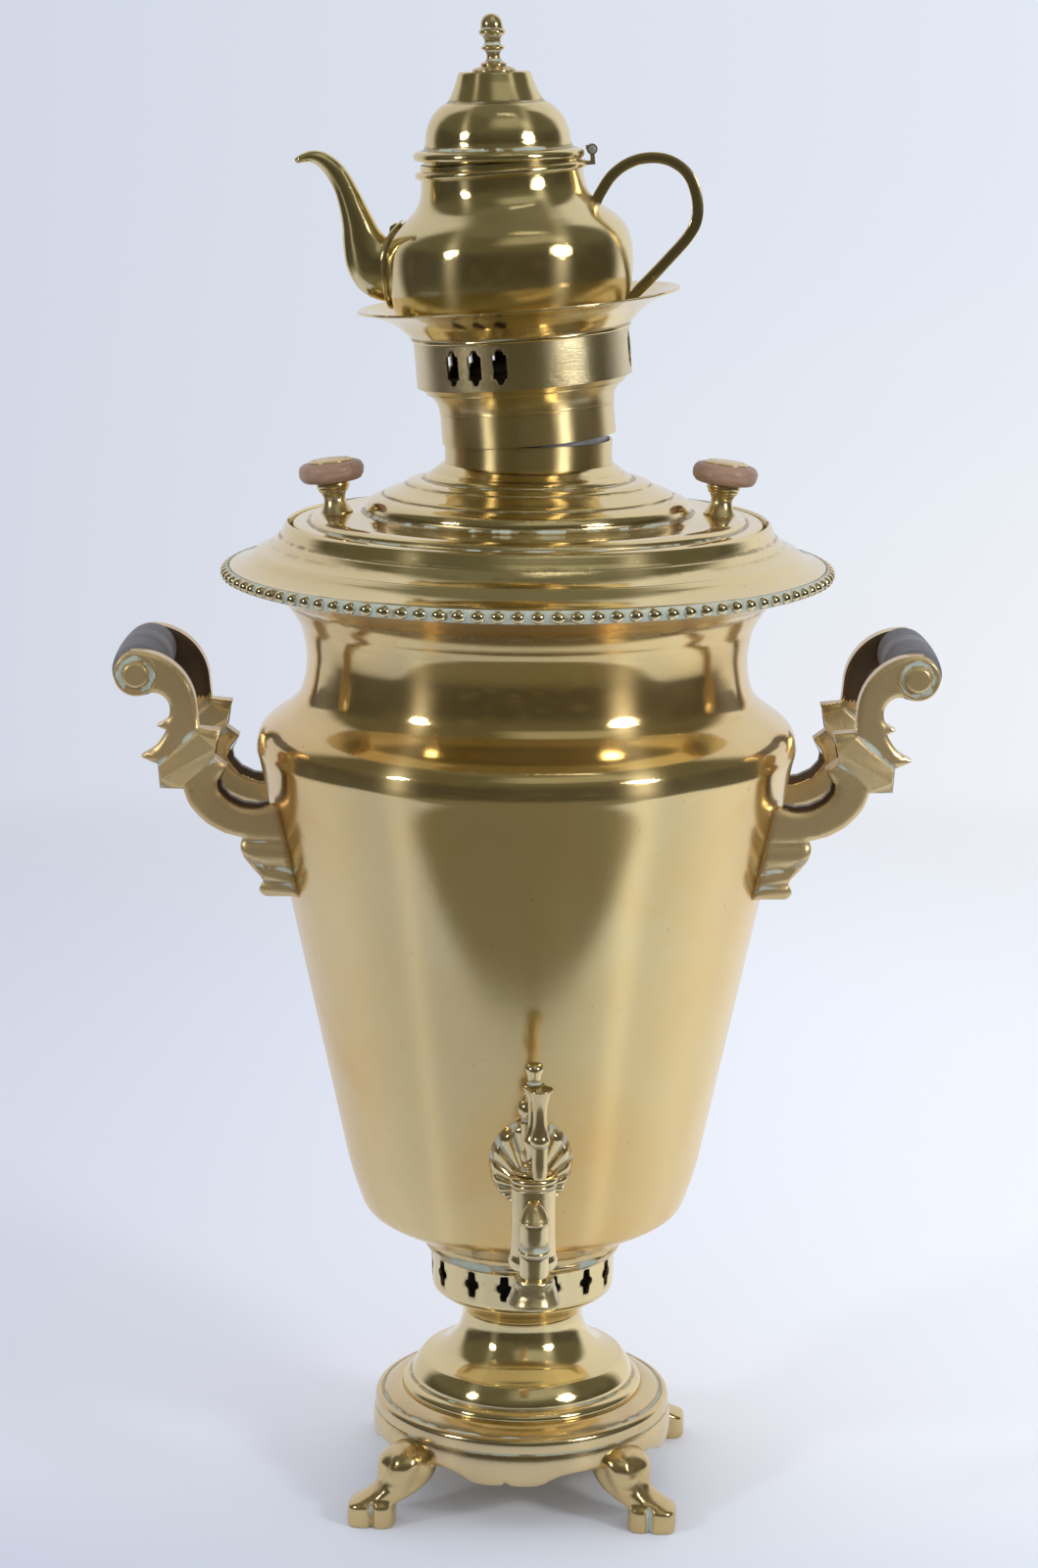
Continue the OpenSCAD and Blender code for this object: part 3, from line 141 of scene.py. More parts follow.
def brass(name, bright, stain, rough, stain_share, turned=0.0, rugged=0.0, haze=0.0, green=0.5,
          urn=False, glare=0.0, bare=0.0):
    """Brass with tarnish clouds, polishing lines and verdigris where the mesh says 'dirt'."""
    s = material(name)
    cloud = s.noise(9.0, 5, 0.62, warp=0.6)
    spots = s.noise(260.0, 2, 0.5)
    fine = s.noise(1400.0, 2, 0.6)
    share = s.span(cloud, 0.52 - 0.20 * stain_share, 0.80, 0.0, 0.3 + 0.6 * stain_share)
    split = s.put("SeparateXYZ", {0: s.place()})
    if urn:
        across = s.times(s.math("SUBTRACT", split.outputs[0], 0.012), 30.0)
        up = s.times(s.math("SUBTRACT", split.outputs[2], 0.165), 24.0)
        reach = s.plus(s.times(across, across), s.times(up, up))
        front = s.span(split.outputs[1], -0.03, -0.06)
        ring = s.times(s.span(reach, 3.2, 0.1, 0.0, 1.0), front)
        ring = s.times(ring, s.span(s.noise(24.0, 3), 0.25, 0.6, 0.5, 1.0))
        share = s.math("MAXIMUM", share, ring)
    tone = s.mix(share, bright, stain)
    tone = s.mix(s.span(spots, 0.70, 0.80, 0.0, 0.3), tone, tuple(0.45 * v for v in stain))
    dirt = s.attribute("dirt")
    ragged = s.times(dirt, s.span(s.noise(95.0, 4, 0.6), 0.32, 0.62, 0.25, 1.25))
    crust = s.span(ragged, 0.85 - 0.6 * green, 1.15 - 0.45 * green)
    film = s.span(ragged, 0.06, 0.50, 0.0, 0.7)
    tone = s.mix(film, tone, tuple(v * w for v, w in zip(bright, (0.52, 0.50, 0.52))))
    pale = s.mix(s.noise(140.0, 3), (0.25, 0.29, 0.23), (0.50, 0.53, 0.45))
    tone = s.mix(crust, tone, pale)
    metal = s.math("SUBTRACT", 1.0 - bare, s.times(crust, 0.92 - bare))
    smear = s.span(cloud, 0.35, 0.75, rough * 0.8, rough * 1.4 + haze)
    if urn:
        satin = s.span(split.outputs[2], 0.300, 0.215, 0.0, 0.15)
        side = s.span(s.math("ABSOLUTE", split.outputs[0]), 0.070, 0.095, 0.0, 0.10)
        side = s.times(side, s.span(split.outputs[2], 0.340, 0.330))
        smear = s.plus(smear, s.math("MAXIMUM", satin, side))
    smear = s.plus(smear, s.span(fine, 0.3, 0.8, -0.01, 0.02))
    gloss = s.plus(smear, s.times(s.math("MAXIMUM", crust, film), 0.42), clamp=True)
    height = s.times(s.noise(30.0, 2, 0.45), 0.4)
    if turned:
        lines = s.noise(60.0, 5, 0.75, at=s.place((1.5, 1.5, 55.0)))
        height = s.plus(height, s.times(lines, turned))
    if rugged:
        height = s.plus(height, s.times(s.noise(420.0, 4, 0.6), rugged))
    height = s.plus(height, s.times(crust, 0.35))
    bump = s.put("Bump", {"Strength": 0.22, "Distance": 0.00035, "Height": height}).outputs[0]
    shade = s.put("BsdfPrincipled", {"Base Color": tone, "Metallic": metal, "Roughness": gloss,
                                     "Normal": bump})
    result = shade.outputs[0]
    if glare:
        # Turned metal: fine rings round the axis draw the lamps out into upright streaks
        rings = s.put("Tangent", direction_type="RADIAL", axis="Z").outputs[0]
        streak = s.put("BsdfPrincipled", {"Base Color": tone, "Metallic": metal, "Roughness": 0.36,
                                          "Anisotropic": 1.0, "Anisotropic Rotation": 0.25,
                                          "Tangent": rings, "Normal": bump})
        result = s.put("MixShader", {0: glare, 1: result, 2: streak.outputs[0]}).outputs[0]
    s.put("OutputMaterial", {0: result})


BRIGHT, STAIN = (0.85, 0.69, 0.37), (0.80, 0.52, 0.20)
brass("brass_urn", (0.87, 0.68, 0.34), (0.86, 0.56, 0.21), 0.055, 0.8, turned=0.16, haze=0.02,
      green=0.3, urn=True, glare=0.3)
brass("brass_polished", BRIGHT, STAIN, 0.06, 0.25, turned=0.3, green=0.02, glare=0.12)
brass("brass_drawn", BRIGHT, STAIN, 0.10, 0.25, turned=0.5, green=0.15, glare=0.85)
brass("brass_brushed", (0.80, 0.68, 0.41), STAIN, 0.19, 0.2, turned=2.0, green=0.3, glare=0.3)
brass("brass_cast", (0.74, 0.56, 0.29), (0.56, 0.36, 0.15), 0.27, 0.8, rugged=0.7, green=0.8, bare=0.26)
brass("brass_fitting", (0.80, 0.65, 0.36), (0.62, 0.42, 0.18), 0.17, 0.5, rugged=0.4, green=0.8, bare=0.05)
brass("brass_strap", (0.72, 0.58, 0.31), (0.56, 0.38, 0.17), 0.24, 0.5, rugged=0.3, green=0.5)
brass("brass_foot", (0.72, 0.55, 0.27), (0.54, 0.35, 0.15), 0.20, 0.7, rugged=0.4, green=0.9, bare=0.05)
brass("brass_base", (0.77, 0.60, 0.32), (0.60, 0.43, 0.26), 0.15, 0.9, turned=0.4, green=0.35, glare=0.15)
brass("brass_beads", (0.80, 0.68, 0.42), STAIN, 0.15, 0.3, green=1.1)
brass("brass_rough", (0.70, 0.58, 0.33), (0.50, 0.37, 0.20), 0.28, 0.6, rugged=1.6, green=0.7, bare=0.06)
brass("brass_pot", (0.82, 0.68, 0.36), (0.76, 0.50, 0.19), 0.045, 0.35, turned=0.35, green=0.1, glare=0.22)


def dull(name, low, high, rough, metal=0.0, grain=60.0, lines=None, scale=(1, 1, 1)):
    """Wood, iron or soot: a mottle from low to high, with its own colour in the hollows."""
    s = material(name)
    at = s.place(scale)
    tone = s.mix(s.noise(grain, 5, 0.65, at=at, warp=0.4), low, high)
    tone = s.mix(s.span(s.attribute("dirt"), 0.1, 0.9), tone, lines or low)
    height = s.plus(s.noise(grain * 3, 4, 0.6, at=at), s.noise(grain * 14, 2, 0.5))
    normal = s.put("Bump", {"Strength": 0.4, "Distance": 0.0004, "Height": height}).outputs[0]
    wear = s.span(s.noise(grain * 0.7, 4), 0.3, 0.7, rough - 0.08, rough + 0.1)
    shade = s.put("BsdfPrincipled", {"Base Color": tone, "Metallic": metal, "Roughness": wear,
                                     "Normal": normal})
    s.put("OutputMaterial", {0: shade.outputs[0]})


dull("iron_dark", (0.035, 0.032, 0.03), (0.10, 0.09, 0.08), 0.7, 0.5)
dull("soot", (0.020, 0.017, 0.014), (0.060, 0.048, 0.036), 0.85)
dull("tube_grey", (0.26, 0.265, 0.27), (0.46, 0.46, 0.455), 0.5, 0.65, lines=(0.16, 0.12, 0.08))
dull("wood_brown", (0.20, 0.115, 0.075), (0.37, 0.235, 0.16), 0.42, grain=70, lines=(0.10, 0.05, 0.03),
     scale=(1, 4, 1))
dull("wood_grey", (0.085, 0.083, 0.092), (0.205, 0.20, 0.215), 0.50, grain=55, lines=(0.04, 0.04, 0.045),
     scale=(1, 0.3, 1))
# Dark brown for the rear brackets' faces toward the grip, the brackets' lips and the crown's inside: partly
# real oxide, partly painted shade where neighbouring parts shade them.
dull("bracket_back", (0.050, 0.034, 0.022), (0.16, 0.105, 0.06), 0.40, 0.6, grain=26)


# ---------------------------------------------------------------- mesh helpers
def curve(points, gap):
    """Catmull-Rom curve through points of any size, with steps about gap long."""
    out = []
    last = len(points) - 1
    for i in range(last):
        a, b = points[max(i - 1, 0)], points[i]
        c, d = points[i + 1], points[min(i + 2, last)]
        steps = max(1, min(14, math.ceil(math.dist(b[:2], c[:2]) / gap)))
        if last == 1:
            steps = 1
        for k in range(steps):
            t = k / steps
            out.append(tuple(
                0.5 * (2 * q + (r - p) * t + (2 * p - 5 * q + 4 * r - e) * t * t
                       + (3 * q - p - 3 * r + e) * t ** 3)
                for p, q, r, e in zip(a, b, c, d)))
    out.append(tuple(points[-1]))
    return out


def profile(*runs, gap=0.9, base=0.0):
    """Joins smooth runs of (r, z) points. Each goes on from the one before, with a sharp corner there."""
    out = []
    for run in runs:
        points = [(float(r), base + z) for r, z in run]
        if out:
            points.insert(0, out[-1][:2])
            out[-1] = (*out[-1][:2], True)
        line = curve(points, gap)
        out += [(r, z, False) for r, z in line[1 if out else 0:]]
    out[0] = (*out[0][:2], True)
    out[-1] = (*out[-1][:2], True)
    return out


def clip(x, low=0, high=1):
    return max(low, min(high, x))


def turns(count):
    """Angles of count even steps round a circle, in radians."""
    return [2 * math.pi * k / count for k in range(count)]


def heading(line, i):
    """Direction of an open line at one of its points, as a unit vector."""
    a, b = line[max(i - 1, 0)], line[min(i + 1, len(line) - 1)]
    size = math.hypot(b[0] - a[0], b[1] - a[1]) or 1
    return (b[0] - a[0]) / size, (b[1] - a[1]) / size


def inset(line, wall):
    """The line moved one wall to its inner side."""
    back = []
    for i, (r, z, sharp) in enumerate(line):
        dx, dz = heading(line, i)
        back.append((r - wall * dz, z + wall * dx, sharp))
    return back


def cavity(line, reach=2.2):
    """How deep each point of an open outline lies in a groove, from 0 to 1."""
    out = []
    for i, p in enumerate(line):
        near = [q for q in line if 0.3 < math.dist(p[:2], q[:2]) < reach]
        dx, dz = heading(line, i)
        depth = sum((q[0] - p[0]) * dz - (q[1] - p[1]) * dx for q in near) / max(len(near), 1)
        out.append(clip((depth - 0.04) / 0.32))
    return out


def dirt_layer(bm):
    return bm.verts.layers.float.get("dirt") or bm.verts.layers.float.new("dirt")


def crease(bm, degrees):
    """Marks the edges that turn by more than this as sharp."""
    for e in bm.edges:
        if len(e.link_faces) == 2 and e.calc_face_angle(0) > math.radians(degrees):
            e.smooth = False


def join(bm, own):
    """Adds a second bmesh to the first and frees it."""
    mesh = bpy.data.meshes.new("part")
    own.to_mesh(mesh)
    own.free()
    bm.from_mesh(mesh)
    bpy.data.meshes.remove(mesh)


def finish(name, bm, mat, body, hides=(), at=None):
    """Turns a bmesh in millimetres into a piece in metres that rides on a body."""
    mesh = bpy.data.meshes.new(name)
    bmesh.ops.recalc_face_normals(bm, faces=bm.faces)
    if at is not None:
        bm.transform(at)
    bm.transform(Matrix.Scale(0.001, 4))
    for face in bm.faces:
        face.smooth = True
    bm.to_mesh(mesh)
    bm.free()
    if "dirt" not in mesh.attributes:
        mesh.attributes.new("dirt", "FLOAT", "POINT")
    obj = bpy.data.objects.new(name, mesh)
    bpy.context.scene.collection.objects.link(obj)
    for m in mat if isinstance(mat, (list, tuple)) else [mat]:
        mesh.materials.append(MATERIALS[m])
    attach(obj, body)
    if hides:
        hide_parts(*hides)


def spin_rings(bm, rings, loop, segs=160, shape=None, grime=None, mats=None):
    """Adds a turned surface from (r, z, sharp) rings, closed on itself where loop is true."""
    layer = dirt_layer(bm)
    made = []
    for k, (r, z, _) in enumerate(rings):
        row = []
        for j in range(1 if abs(r) < 1e-6 else segs):
            a = 2 * math.pi * j / segs
            p = Vector((r * math.cos(a), r * math.sin(a), z))
            if shape:
                p = shape(p, a, k)
            v = bm.verts.new(p)
            v[layer] = grime[k] if grime else 0.0
            row.append(v)
        made.append(row)
    count = len(made)
    for k in range(count if loop else count - 1):
        low, high = made[k], made[(k + 1) % count]
        if len(low) == 1 and len(high) == 1:
            continue
        for j in range(segs):
            quad = [low[j % len(low)], low[(j + 1) % len(low)],
                    high[(j + 1) % len(high)], high[j % len(high)]]
            quad = [v for i, v in enumerate(quad) if v not in quad[:i]]
            if len(quad) > 2:
                face = bm.faces.new(quad)
                if mats:
                    face.material_index = mats[k]
    for k, ring in enumerate(rings):
        if ring[2] and len(made[k]) > 1:
            for j in range(segs):
                edge = bm.edges.get((made[k][j], made[k][(j + 1) % segs]))
                if edge:
                    edge.smooth = False


def shell(name, line, wall, mat, body, hides=(), at=None, segs=160, shape=None,
          foot=None, head=None, extra=0.0, inner=None):
    """A turned sheet: its outer face is the line, its inner face lies one wall further in."""
    back = inset(line, wall)
    if foot is not None:
        back = [(r, max(z, foot), s) for r, z, s in back]
    if head is not None:
        back = [(r, min(z, head), s) for r, z, s in back]
    grime = [min(1, g + extra) for g in cavity(line)] + [0.15] * len(back)
    rings = list(line) + back[::-1]
    bm = bmesh.new()
    mats = [0] * (len(line) - 1) + [1] * (len(back) + 1) if inner else None
    spin_rings(bm, rings, True, segs, shape, grime=grime, mats=mats)
    mats = [mat, inner] if inner else mat
    finish(name, bm, mats, body, hides, at)


def solid(name, line, mat, body, hides=(), at=None, segs=64, extra=0.0, shape=None, loop=False):
    """A turned solid: the line starts and ends on the axis, or is closed on itself where loop is true."""
    grime = [min(1, g + extra) for g in cavity(line, 1.5)]
    bm = bmesh.new()
    spin_rings(bm, line, loop, segs, shape, grime=grime)
    finish(name, bm, mat, body, hides, at)


def ring_solid(name, line, mat, body, hides=(), at=None, segs=96, extra=0.0):
    """A turned ring from a closed outline."""
    solid(name, line, mat, body, hides, at, segs, extra, loop=True)


def hoop(r, y, mid, count, tall=1.0):
    """Points of an upright circle or oval at one y."""
    return [(r * math.cos(a), y, mid + r * tall * math.sin(a)) for a in turns(count)]


def skin(bm, rings, cap=True, closed=False, grime=()):
    """Joins rings of points into a tube and writes the dirt of each point, if it is given."""
    layer = dirt_layer(bm) if grime else None
    rows = [[bm.verts.new(p) for p in ring] for ring in rings]
    count = len(rows)
    for k in range(count if closed else count - 1):
        low, high = rows[k], rows[(k + 1) % count]
        for j in range(len(low)):
            i = (j + 1) % len(low)
            bm.faces.new((low[j], low[i], high[i], high[j]))
    if cap and not closed:
        for row in (rows[0][::-1], rows[-1]):
            bm.faces.new(row)
    for v, g in zip((v for row in rows for v in row), grime):
        v[layer] = g


def slab(bm, outline, depth, bevel=0.0, steps=2, at=None):
    """Extrudes an outline of (x, z) points to +-depth / 2 along Y and rounds its edges."""
    own = bmesh.new()
    front = [own.verts.new((x, -depth / 2, z)) for x, z in outline]
    back = [own.verts.new((x, depth / 2, z)) for x, z in outline]
    count = len(outline)
    own.faces.new(front)
    own.faces.new(back[::-1])
    for i in range(count):
        j = (i + 1) % count
        own.faces.new((front[j], front[i], back[i], back[j]))
    bmesh.ops.recalc_face_normals(own, faces=own.faces)
    if bevel:
        edges = [e for e in own.edges if e.verts[0].co.y * e.verts[1].co.y > 0]
        bmesh.ops.bevel(own, geom=edges, offset=bevel, segments=steps, affect="EDGES",
                        clamp_overlap=True, profile=0.6)
    crease(own, 34)
    if at is not None:
        own.transform(at)
    join(bm, own)


def repaint(node, name):
    """Gives a CAD node a material of this script."""
    obj = NODES[node]
    if not obj.material_slots:
        raise RuntimeError("no material slot on " + node)
    for place in obj.material_slots:
        place.link = "OBJECT"
        place.material = MATERIALS[name]


def arc(cx, cz, r, a0, a1, steps):
    return [(cx + r * math.cos(math.radians(a0 + (a1 - a0) * k / steps)),
             cz + r * math.sin(math.radians(a0 + (a1 - a0) * k / steps))) for k in range(steps + 1)]


def inside(p, poly):
    hit = False
    j = len(poly) - 1
    for i in range(len(poly)):
        a, b = poly[i], poly[j]
        if (a[1] > p[1]) != (b[1] > p[1]):
            if p[0] < (b[0] - a[0]) * (p[1] - a[1]) / (b[1] - a[1]) + a[0]:
                hit = not hit
        j = i
    return hit


def two_sided(bm, sides, verts, faces, keep, seam=(), back_mat=0):
    """Faces both sides of a flat mesh where keep says so, and walls the free edges off the seam."""
    used = {}
    for face in faces:
        if not keep([sum(verts[i][k] for i in face) / len(face) for k in (0, 1)]):
            continue
        bm.faces.new([sides[0][i] for i in face])
        bm.faces.new([sides[1][i] for i in reversed(face)]).material_index = back_mat
        for k in range(len(face)):
            pair = (face[k], face[(k + 1) % len(face)])
            key = tuple(sorted(pair))
            used[key] = None if key in used else pair
    for a, b in filter(None, used.values()):
        if {round(verts[a][0], 3), round(verts[b][0], 3)} in seam:
            continue
        bm.faces.new((sides[0][b], sides[0][a], sides[1][a], sides[1][b]))
        for row in sides:
            edge = bm.edges.get((row[a], row[b]))
            if edge:
                edge.smooth = False


def pierced(bm, radius, z0, z1, holes, wall, seam, segs=180, rows=5):
    """A cylinder wall with cut-outs: (angle, z) outlines, in degrees from a seam that no hole crosses."""
    layer = dirt_layer(bm)
    mid = radius((z0 + z1) / 2)
    mm = math.radians(1) * mid
    loops = [[(a * mm, z) for a, z in hole] for hole in holes]
    points, edges = [], []

    def add_loop(loop):
        first = len(points)
        points.extend(Vector(p) for p in loop)
        edges.extend((first + i, first + (i + 1) % len(loop)) for i in range(len(loop)))

    low = [(360 * k / segs * mm, z0) for k in range(segs + 1)]
    high = [(360 * k / segs * mm, z1) for k in range(segs, -1, -1)]
    steps = [z0 + (z1 - z0) * k / rows for k in range(1, rows)]
    right = [(360 * mm, z) for z in steps]
    left = [(0.0, z) for z in steps[::-1]]
    add_loop(low + right + high + left)
    for loop in loops:
        add_loop(loop)
    for k in range(1, segs):
        for z in steps:
            p = (360 * k / segs * mm, z)
            if not any(inside(p, loop) for loop in loops):
                points.append(Vector(p))
    verts, _, faces, _, _, _ = delaunay_2d_cdt(points, edges, [], 1, 1e-5)

    def edge_near(p):
        return min((math.dist(p, q) for loop in loops for q in loop), default=9)

    sides = []
    for gap in (0.0, wall):
        row = []
        for p in verts:
            a, r = math.radians(seam + p[0] / mm), radius(p[1]) - gap
            v = bm.verts.new((r * math.cos(a), r * math.sin(a), p[1]))
            v[layer] = max(0, 0.5 - 0.5 * edge_near(p)) if not gap else 0.3
            row.append(v)
        sides.append(row)
    two_sided(bm, sides, verts, faces, lambda c: not any(inside(c, loop) for loop in loops),
              ({0.0}, {round(360 * mm, 3)}), 1)
    bmesh.ops.remove_doubles(bm, verts=bm.verts, dist=0.004)


# ---------------------------------------------------------------- base and feet
def apron(p, a, k):
    """Scalloped lower edge: lobes between the feet, arches on either side of them."""
    side = (math.degrees(a) + 45) % 90 - 45
    x = abs(67 * math.sin(math.radians(side)))
    knots = [(0, 24.0), (1.6, 22.5), (6, 22.0), (13, 22.1), (17, 23.0), (20.5, 24.8), (25, 26.3),
             (30, 26.9), (40, 26.9), (50, 26.9)]
    low = knots[-1][1]
    for (x0, z0), (x1, z1) in zip(knots, knots[1:]):
        if x0 <= x <= x1:
            t = (x - x0) / (x1 - x0)
            t = t * t * (3 - 2 * t)
            low = z0 + (z1 - z0) * t
            break
    if p.z < 30:
        p.z = low + (p.z - 22) * (30 - low) / 8
    return p


rim = profile(
    [(65.6, 22), (66.2, 22.2), (67.3, 24.5), (67.8, 28), (67.9, 31.5), (67.6, 34.6), (67.1, 36.6)],
    [(66.3, 37.1), (67.0, 37.7)], [(67.0, 39.5), (66.8, 41.8), (66.3, 43.0), (65.4, 43.8), (64.4, 44.1)],
    [(63.6, 43.6), (62.8, 44.3)], [(60.5, 45.8), (57.6, 47.0), (55.4, 47.3), (54.2, 46.9)])
shell("base_rim", rim, 3, "brass_base", "urn", ["base_flange", "base_apron"], BASE, 216, apron,
      extra=0.05)

bell = profile(
    [(54.2, 46.9), (54.3, 48.2), (53.9, 49.4), (52.9, 50.4), (51.6, 51.1), (50.9, 51.2)], [(50.2, 51.3),
    (50.3, 52.2)], [(50.1, 53.6), (49.2, 55.6), (47.6, 58.2), (45.9, 60.2), (45.1, 60.8)], [(44.5, 60.7),
    (44.0, 61.1)], [(40.1, 62.5), (35.6, 65.0), (31.7, 69.0), (28.9, 73.6), (27.5, 78.2), (27.3, 81)])
shell("base_bell_turned", bell, 1.8, "brass_polished", "urn", ["base_bell"],
      foot=46.9, head=81)


FOOT_STATIONS = [
    # height, outer and inner edge, front and back edge, all from the middle of the toes; squareness
    (0.0, 9.4, -9.9, 7.8, -8.0, 4.0), (0.5, 10.1, -10.6, 8.5, -8.6, 4.0),
    (3.0, 10.3, -10.8, 8.8, -8.8, 4.0), (7.5, 10.2, -10.8, 8.8, -8.8, 4.0),
    (9.6, 9.8, -10.9, 8.5, -9.0, 3.8), (10.8, 8.6, -11.8, 7.8, -9.4, 3.4),
    (11.8, 7.0, -13.8, 7.1, -10.0, 3.0), (13.2, 4.6, -17.0, 6.4, -11.0, 2.6),
    (15.5, 1.0, -20.9, 5.6, -12.7, 2.4), (18.0, -1.4, -24.2, 4.9, -14.7, 2.3),
    (21.0, -1.9, -26.8, 4.6, -17.2, 2.2), (24.0, -1.7, -28.0, 4.7, -20.0, 2.2),
    (27.5, -2.4, -27.8, 4.4, -21.0, 2.2), (30.5, -4.4, -26.4, 3.2, -20.0, 2.2),
    (33.0, -7.8, -24.0, 1.0, -18.0, 2.1), (35.0, -12.0, -21.0, -2.4, -15.0, 2.0),
    (36.0, -15.0, -18.0, -6.0, -11.0, 2.0)]


def foot_piece(name, x, y, sx, sy, node):
    """A cloven foot: two toes, a sloping leg with a crest, and a knee between two folds."""
    bm = bmesh.new()
    rings, grime = [], []
    for z, out, back_in, front, back, square in curve([(s[0], *s[1:]) for s in FOOT_STATIONS], 0.8):
        mid_u, half_u = (out + back_in) / 2, (out - back_in) / 2
        mid_v, half_v = (front + back) / 2, (front - back) / 2
        knee = clip((z - 13) / 6) * clip((36.5 - z) / 4)
        ring = []
        for a in turns(64):
            size = (abs(math.cos(a)) ** square + abs(math.sin(a)) ** square) ** (-1 / square)
            u, v = mid_u + half_u * size * math.cos(a), mid_v + half_v * size * math.sin(a)
            face = max(0, math.sin(a)) ** 0.5
            split = math.exp(-((u + 0.9) / 1.3) ** 2) * clip((12.4 - z) / 2.4) * face
            crest_u = -4.6 - 6.2 * clip((z - 14.9) / 14.3)
            core = math.exp(-((u + 1.2 - crest_u + 3.6) / 6.2) ** 4)
            crest = math.exp(-abs(u - crest_u) / 1.3)
            v += face * (knee * (3.1 * core - 1.6) + 0.8 * crest * clip((z - 12) / 4))
            v -= 2.4 * split
            ring.append((x + sx * u, y + sy * v, z))
            edge = abs(abs(u + 1.2 - crest_u + 3.6) - 6.4)
            sunk = max(min(1, split * 1.3), 0.3 * knee * face * math.exp(-(edge / 0.9) ** 2))
            heel = 0.3 if u < mid_u - 0.8 * half_u and 9 < z < 20 else 0
            grime.append(max(sunk, 0.2 if z > 34 else 0, heel))
        rings.append(ring)
    skin(bm, rings, grime=grime)
    finish(name, bm, "brass_foot", "urn", [node],
           shift(x, y, 0) @ turn_z(-6.5) @ shift(-x, -y, 0))


for end, side, x, y in (("front", "left", -66.8, -53.6), ("front", "right", 58.5, -57.8),
                        ("rear", "left", -58.5, 57.8), ("rear", "right", 66.8, 53.6)):
    foot_piece(f"hoof_{end}_{side}", x, y, math.copysign(1, x), math.copysign(1, y), f"foot_{end}_{side}")

# ---------------------------------------------------------------- vent collar, seat and tube
VENT_Z = 104.8
# Degrees from the front: six as seen, the others spread evenly round the back
VENT_TURNS = [-61.0, -33.5, -11.5, 19.0, 43.5, 65.0] + [65.0 + 23.4 * k for k in range(1, 10)]
VENT_SEAM = 197.0
vent_low = profile(
    [(27.3, 81), (27.6, 82.6), (28.1, 84), (29.2, 85.5), (30.7, 87), (32.5, 88.5), (34.6, 90), (37.0, 91.5),
    (39.2, 93), (40.6, 94.5), (41.1, 96.4)])
vent_back = inset(vent_low, 1.5)


def vent_r(z):
    return 41.1 + 0.35 * max(0, (z - 97) / 13)


def vent_hole(centre):
    """Upright oblong with a round bulge on either side at mid height."""
    shape = arc(1.7, 0, 2.05, -78, 78, 8) + arc(0.9, 5.0, 0.9, 10, 80, 3) + arc(-0.9, 5.0, 0.9, 100, 170, 3)
    shape += arc(-1.7, 0, 2.05, 102, 258, 8)
    shape += arc(-0.9, -5.0, 0.9, 190, 260, 3) + arc(0.9, -5.0, 0.9, 280, 350, 3)
    jig = noise.noise(Vector((centre, 1, 2)))
    per_mm = math.degrees(1 / 41.2)
    out = []
    for px, pz in shape:
        rough = 0.25 * noise.noise(Vector((px * 0.8, pz * 0.8, centre)))
        out.append((centre + (px + rough) * per_mm, VENT_Z + pz + 0.35 * jig + rough))
    return out


bm = bmesh.new()
grime = [0.1] * len(vent_low) + [0.3] * len(vent_back)
spin_rings(bm, vent_low + vent_back[::-1], True, 180, grime=grime,
           mats=[0] * len(vent_low) + [1] * len(vent_back))
vents = [vent_hole(270 + angle - VENT_SEAM) for angle in VENT_TURNS]
pierced(bm, vent_r, 96.4, 111.4, vents, 1.5, seam=VENT_SEAM)
line = profile([(41.5, 111.2), (42.1, 111.6), (42.4, 112)], [(40.3, 112)], [(39.8, 111.2), (41.5, 111.2)])
spin_rings(bm, line[:-1], True, 180, grime=[0.35] * (len(line) - 1))
finish("vent_collar_cut", bm, ["brass_polished", "soot"], "urn", ["vent_collar"])
floor_disc = profile([(0, 91.5), (35, 91.5)], [(35, 90.6)], [(0, 90.6)])
solid("ash_floor", floor_disc, "soot", "urn", segs=64)


def wavy(amount, scale):
    def shape(p, a, k):
        swell = amount * noise.noise(Vector((math.cos(a) * scale, math.sin(a) * scale, k * 0.4)))
        r = math.hypot(p.x, p.y) or 1
        p.x *= 1 + swell / r
        p.y *= 1 + swell / r
        return p
    return shape


seat = profile(
    [(38.5, 112), (42.4, 112)], [(42.9, 112.4), (43.8, 113.6), (44.2, 114.5), (43.9, 115.3)],
    [(43.7, 116.4), (44.1, 117.8), (44.9, 119.2), (46.3, 120.2), (47.0, 120.8)], [(38.5, 120.8)])
bm = bmesh.new()
spin_rings(bm, seat, True, 200, wavy(0.3, 7))
layer = dirt_layer(bm)
for v in bm.verts:
    angle = math.degrees(math.atan2(v.co.x, -v.co.y))
    patch = max(0, 1 - abs(angle + 32) / 26) + 0.6 * max(0, 1 - abs(angle - 40) / 12)
    v[layer] = min(1, 0.15 + 1.6 * patch) if 112.2 < v.co.z < 116.4 else 0.1
lip_line = profile([(34.4, 110.5), (39.6, 110.5)], [(39.6, 112)], [(34.4, 112)])
spin_rings(bm, lip_line, True, 96)
finish("solder_seat", bm, "brass_foot", "urn", ["seat_ring"])

tube_line = profile(
    [(38.5, 112), (38.5, 122)], [(34.2, 431.6)], [(34.2, TUBE_TOP - 0.4)], [(33.9, TUBE_TOP)])
shell("fire_tube_drawn", tube_line, 1.6, "tube_grey", "urn", ["fire_tube"], segs=128,
      foot=112, head=TUBE_TOP, inner="soot")
repaint("grate", "iron_dark")

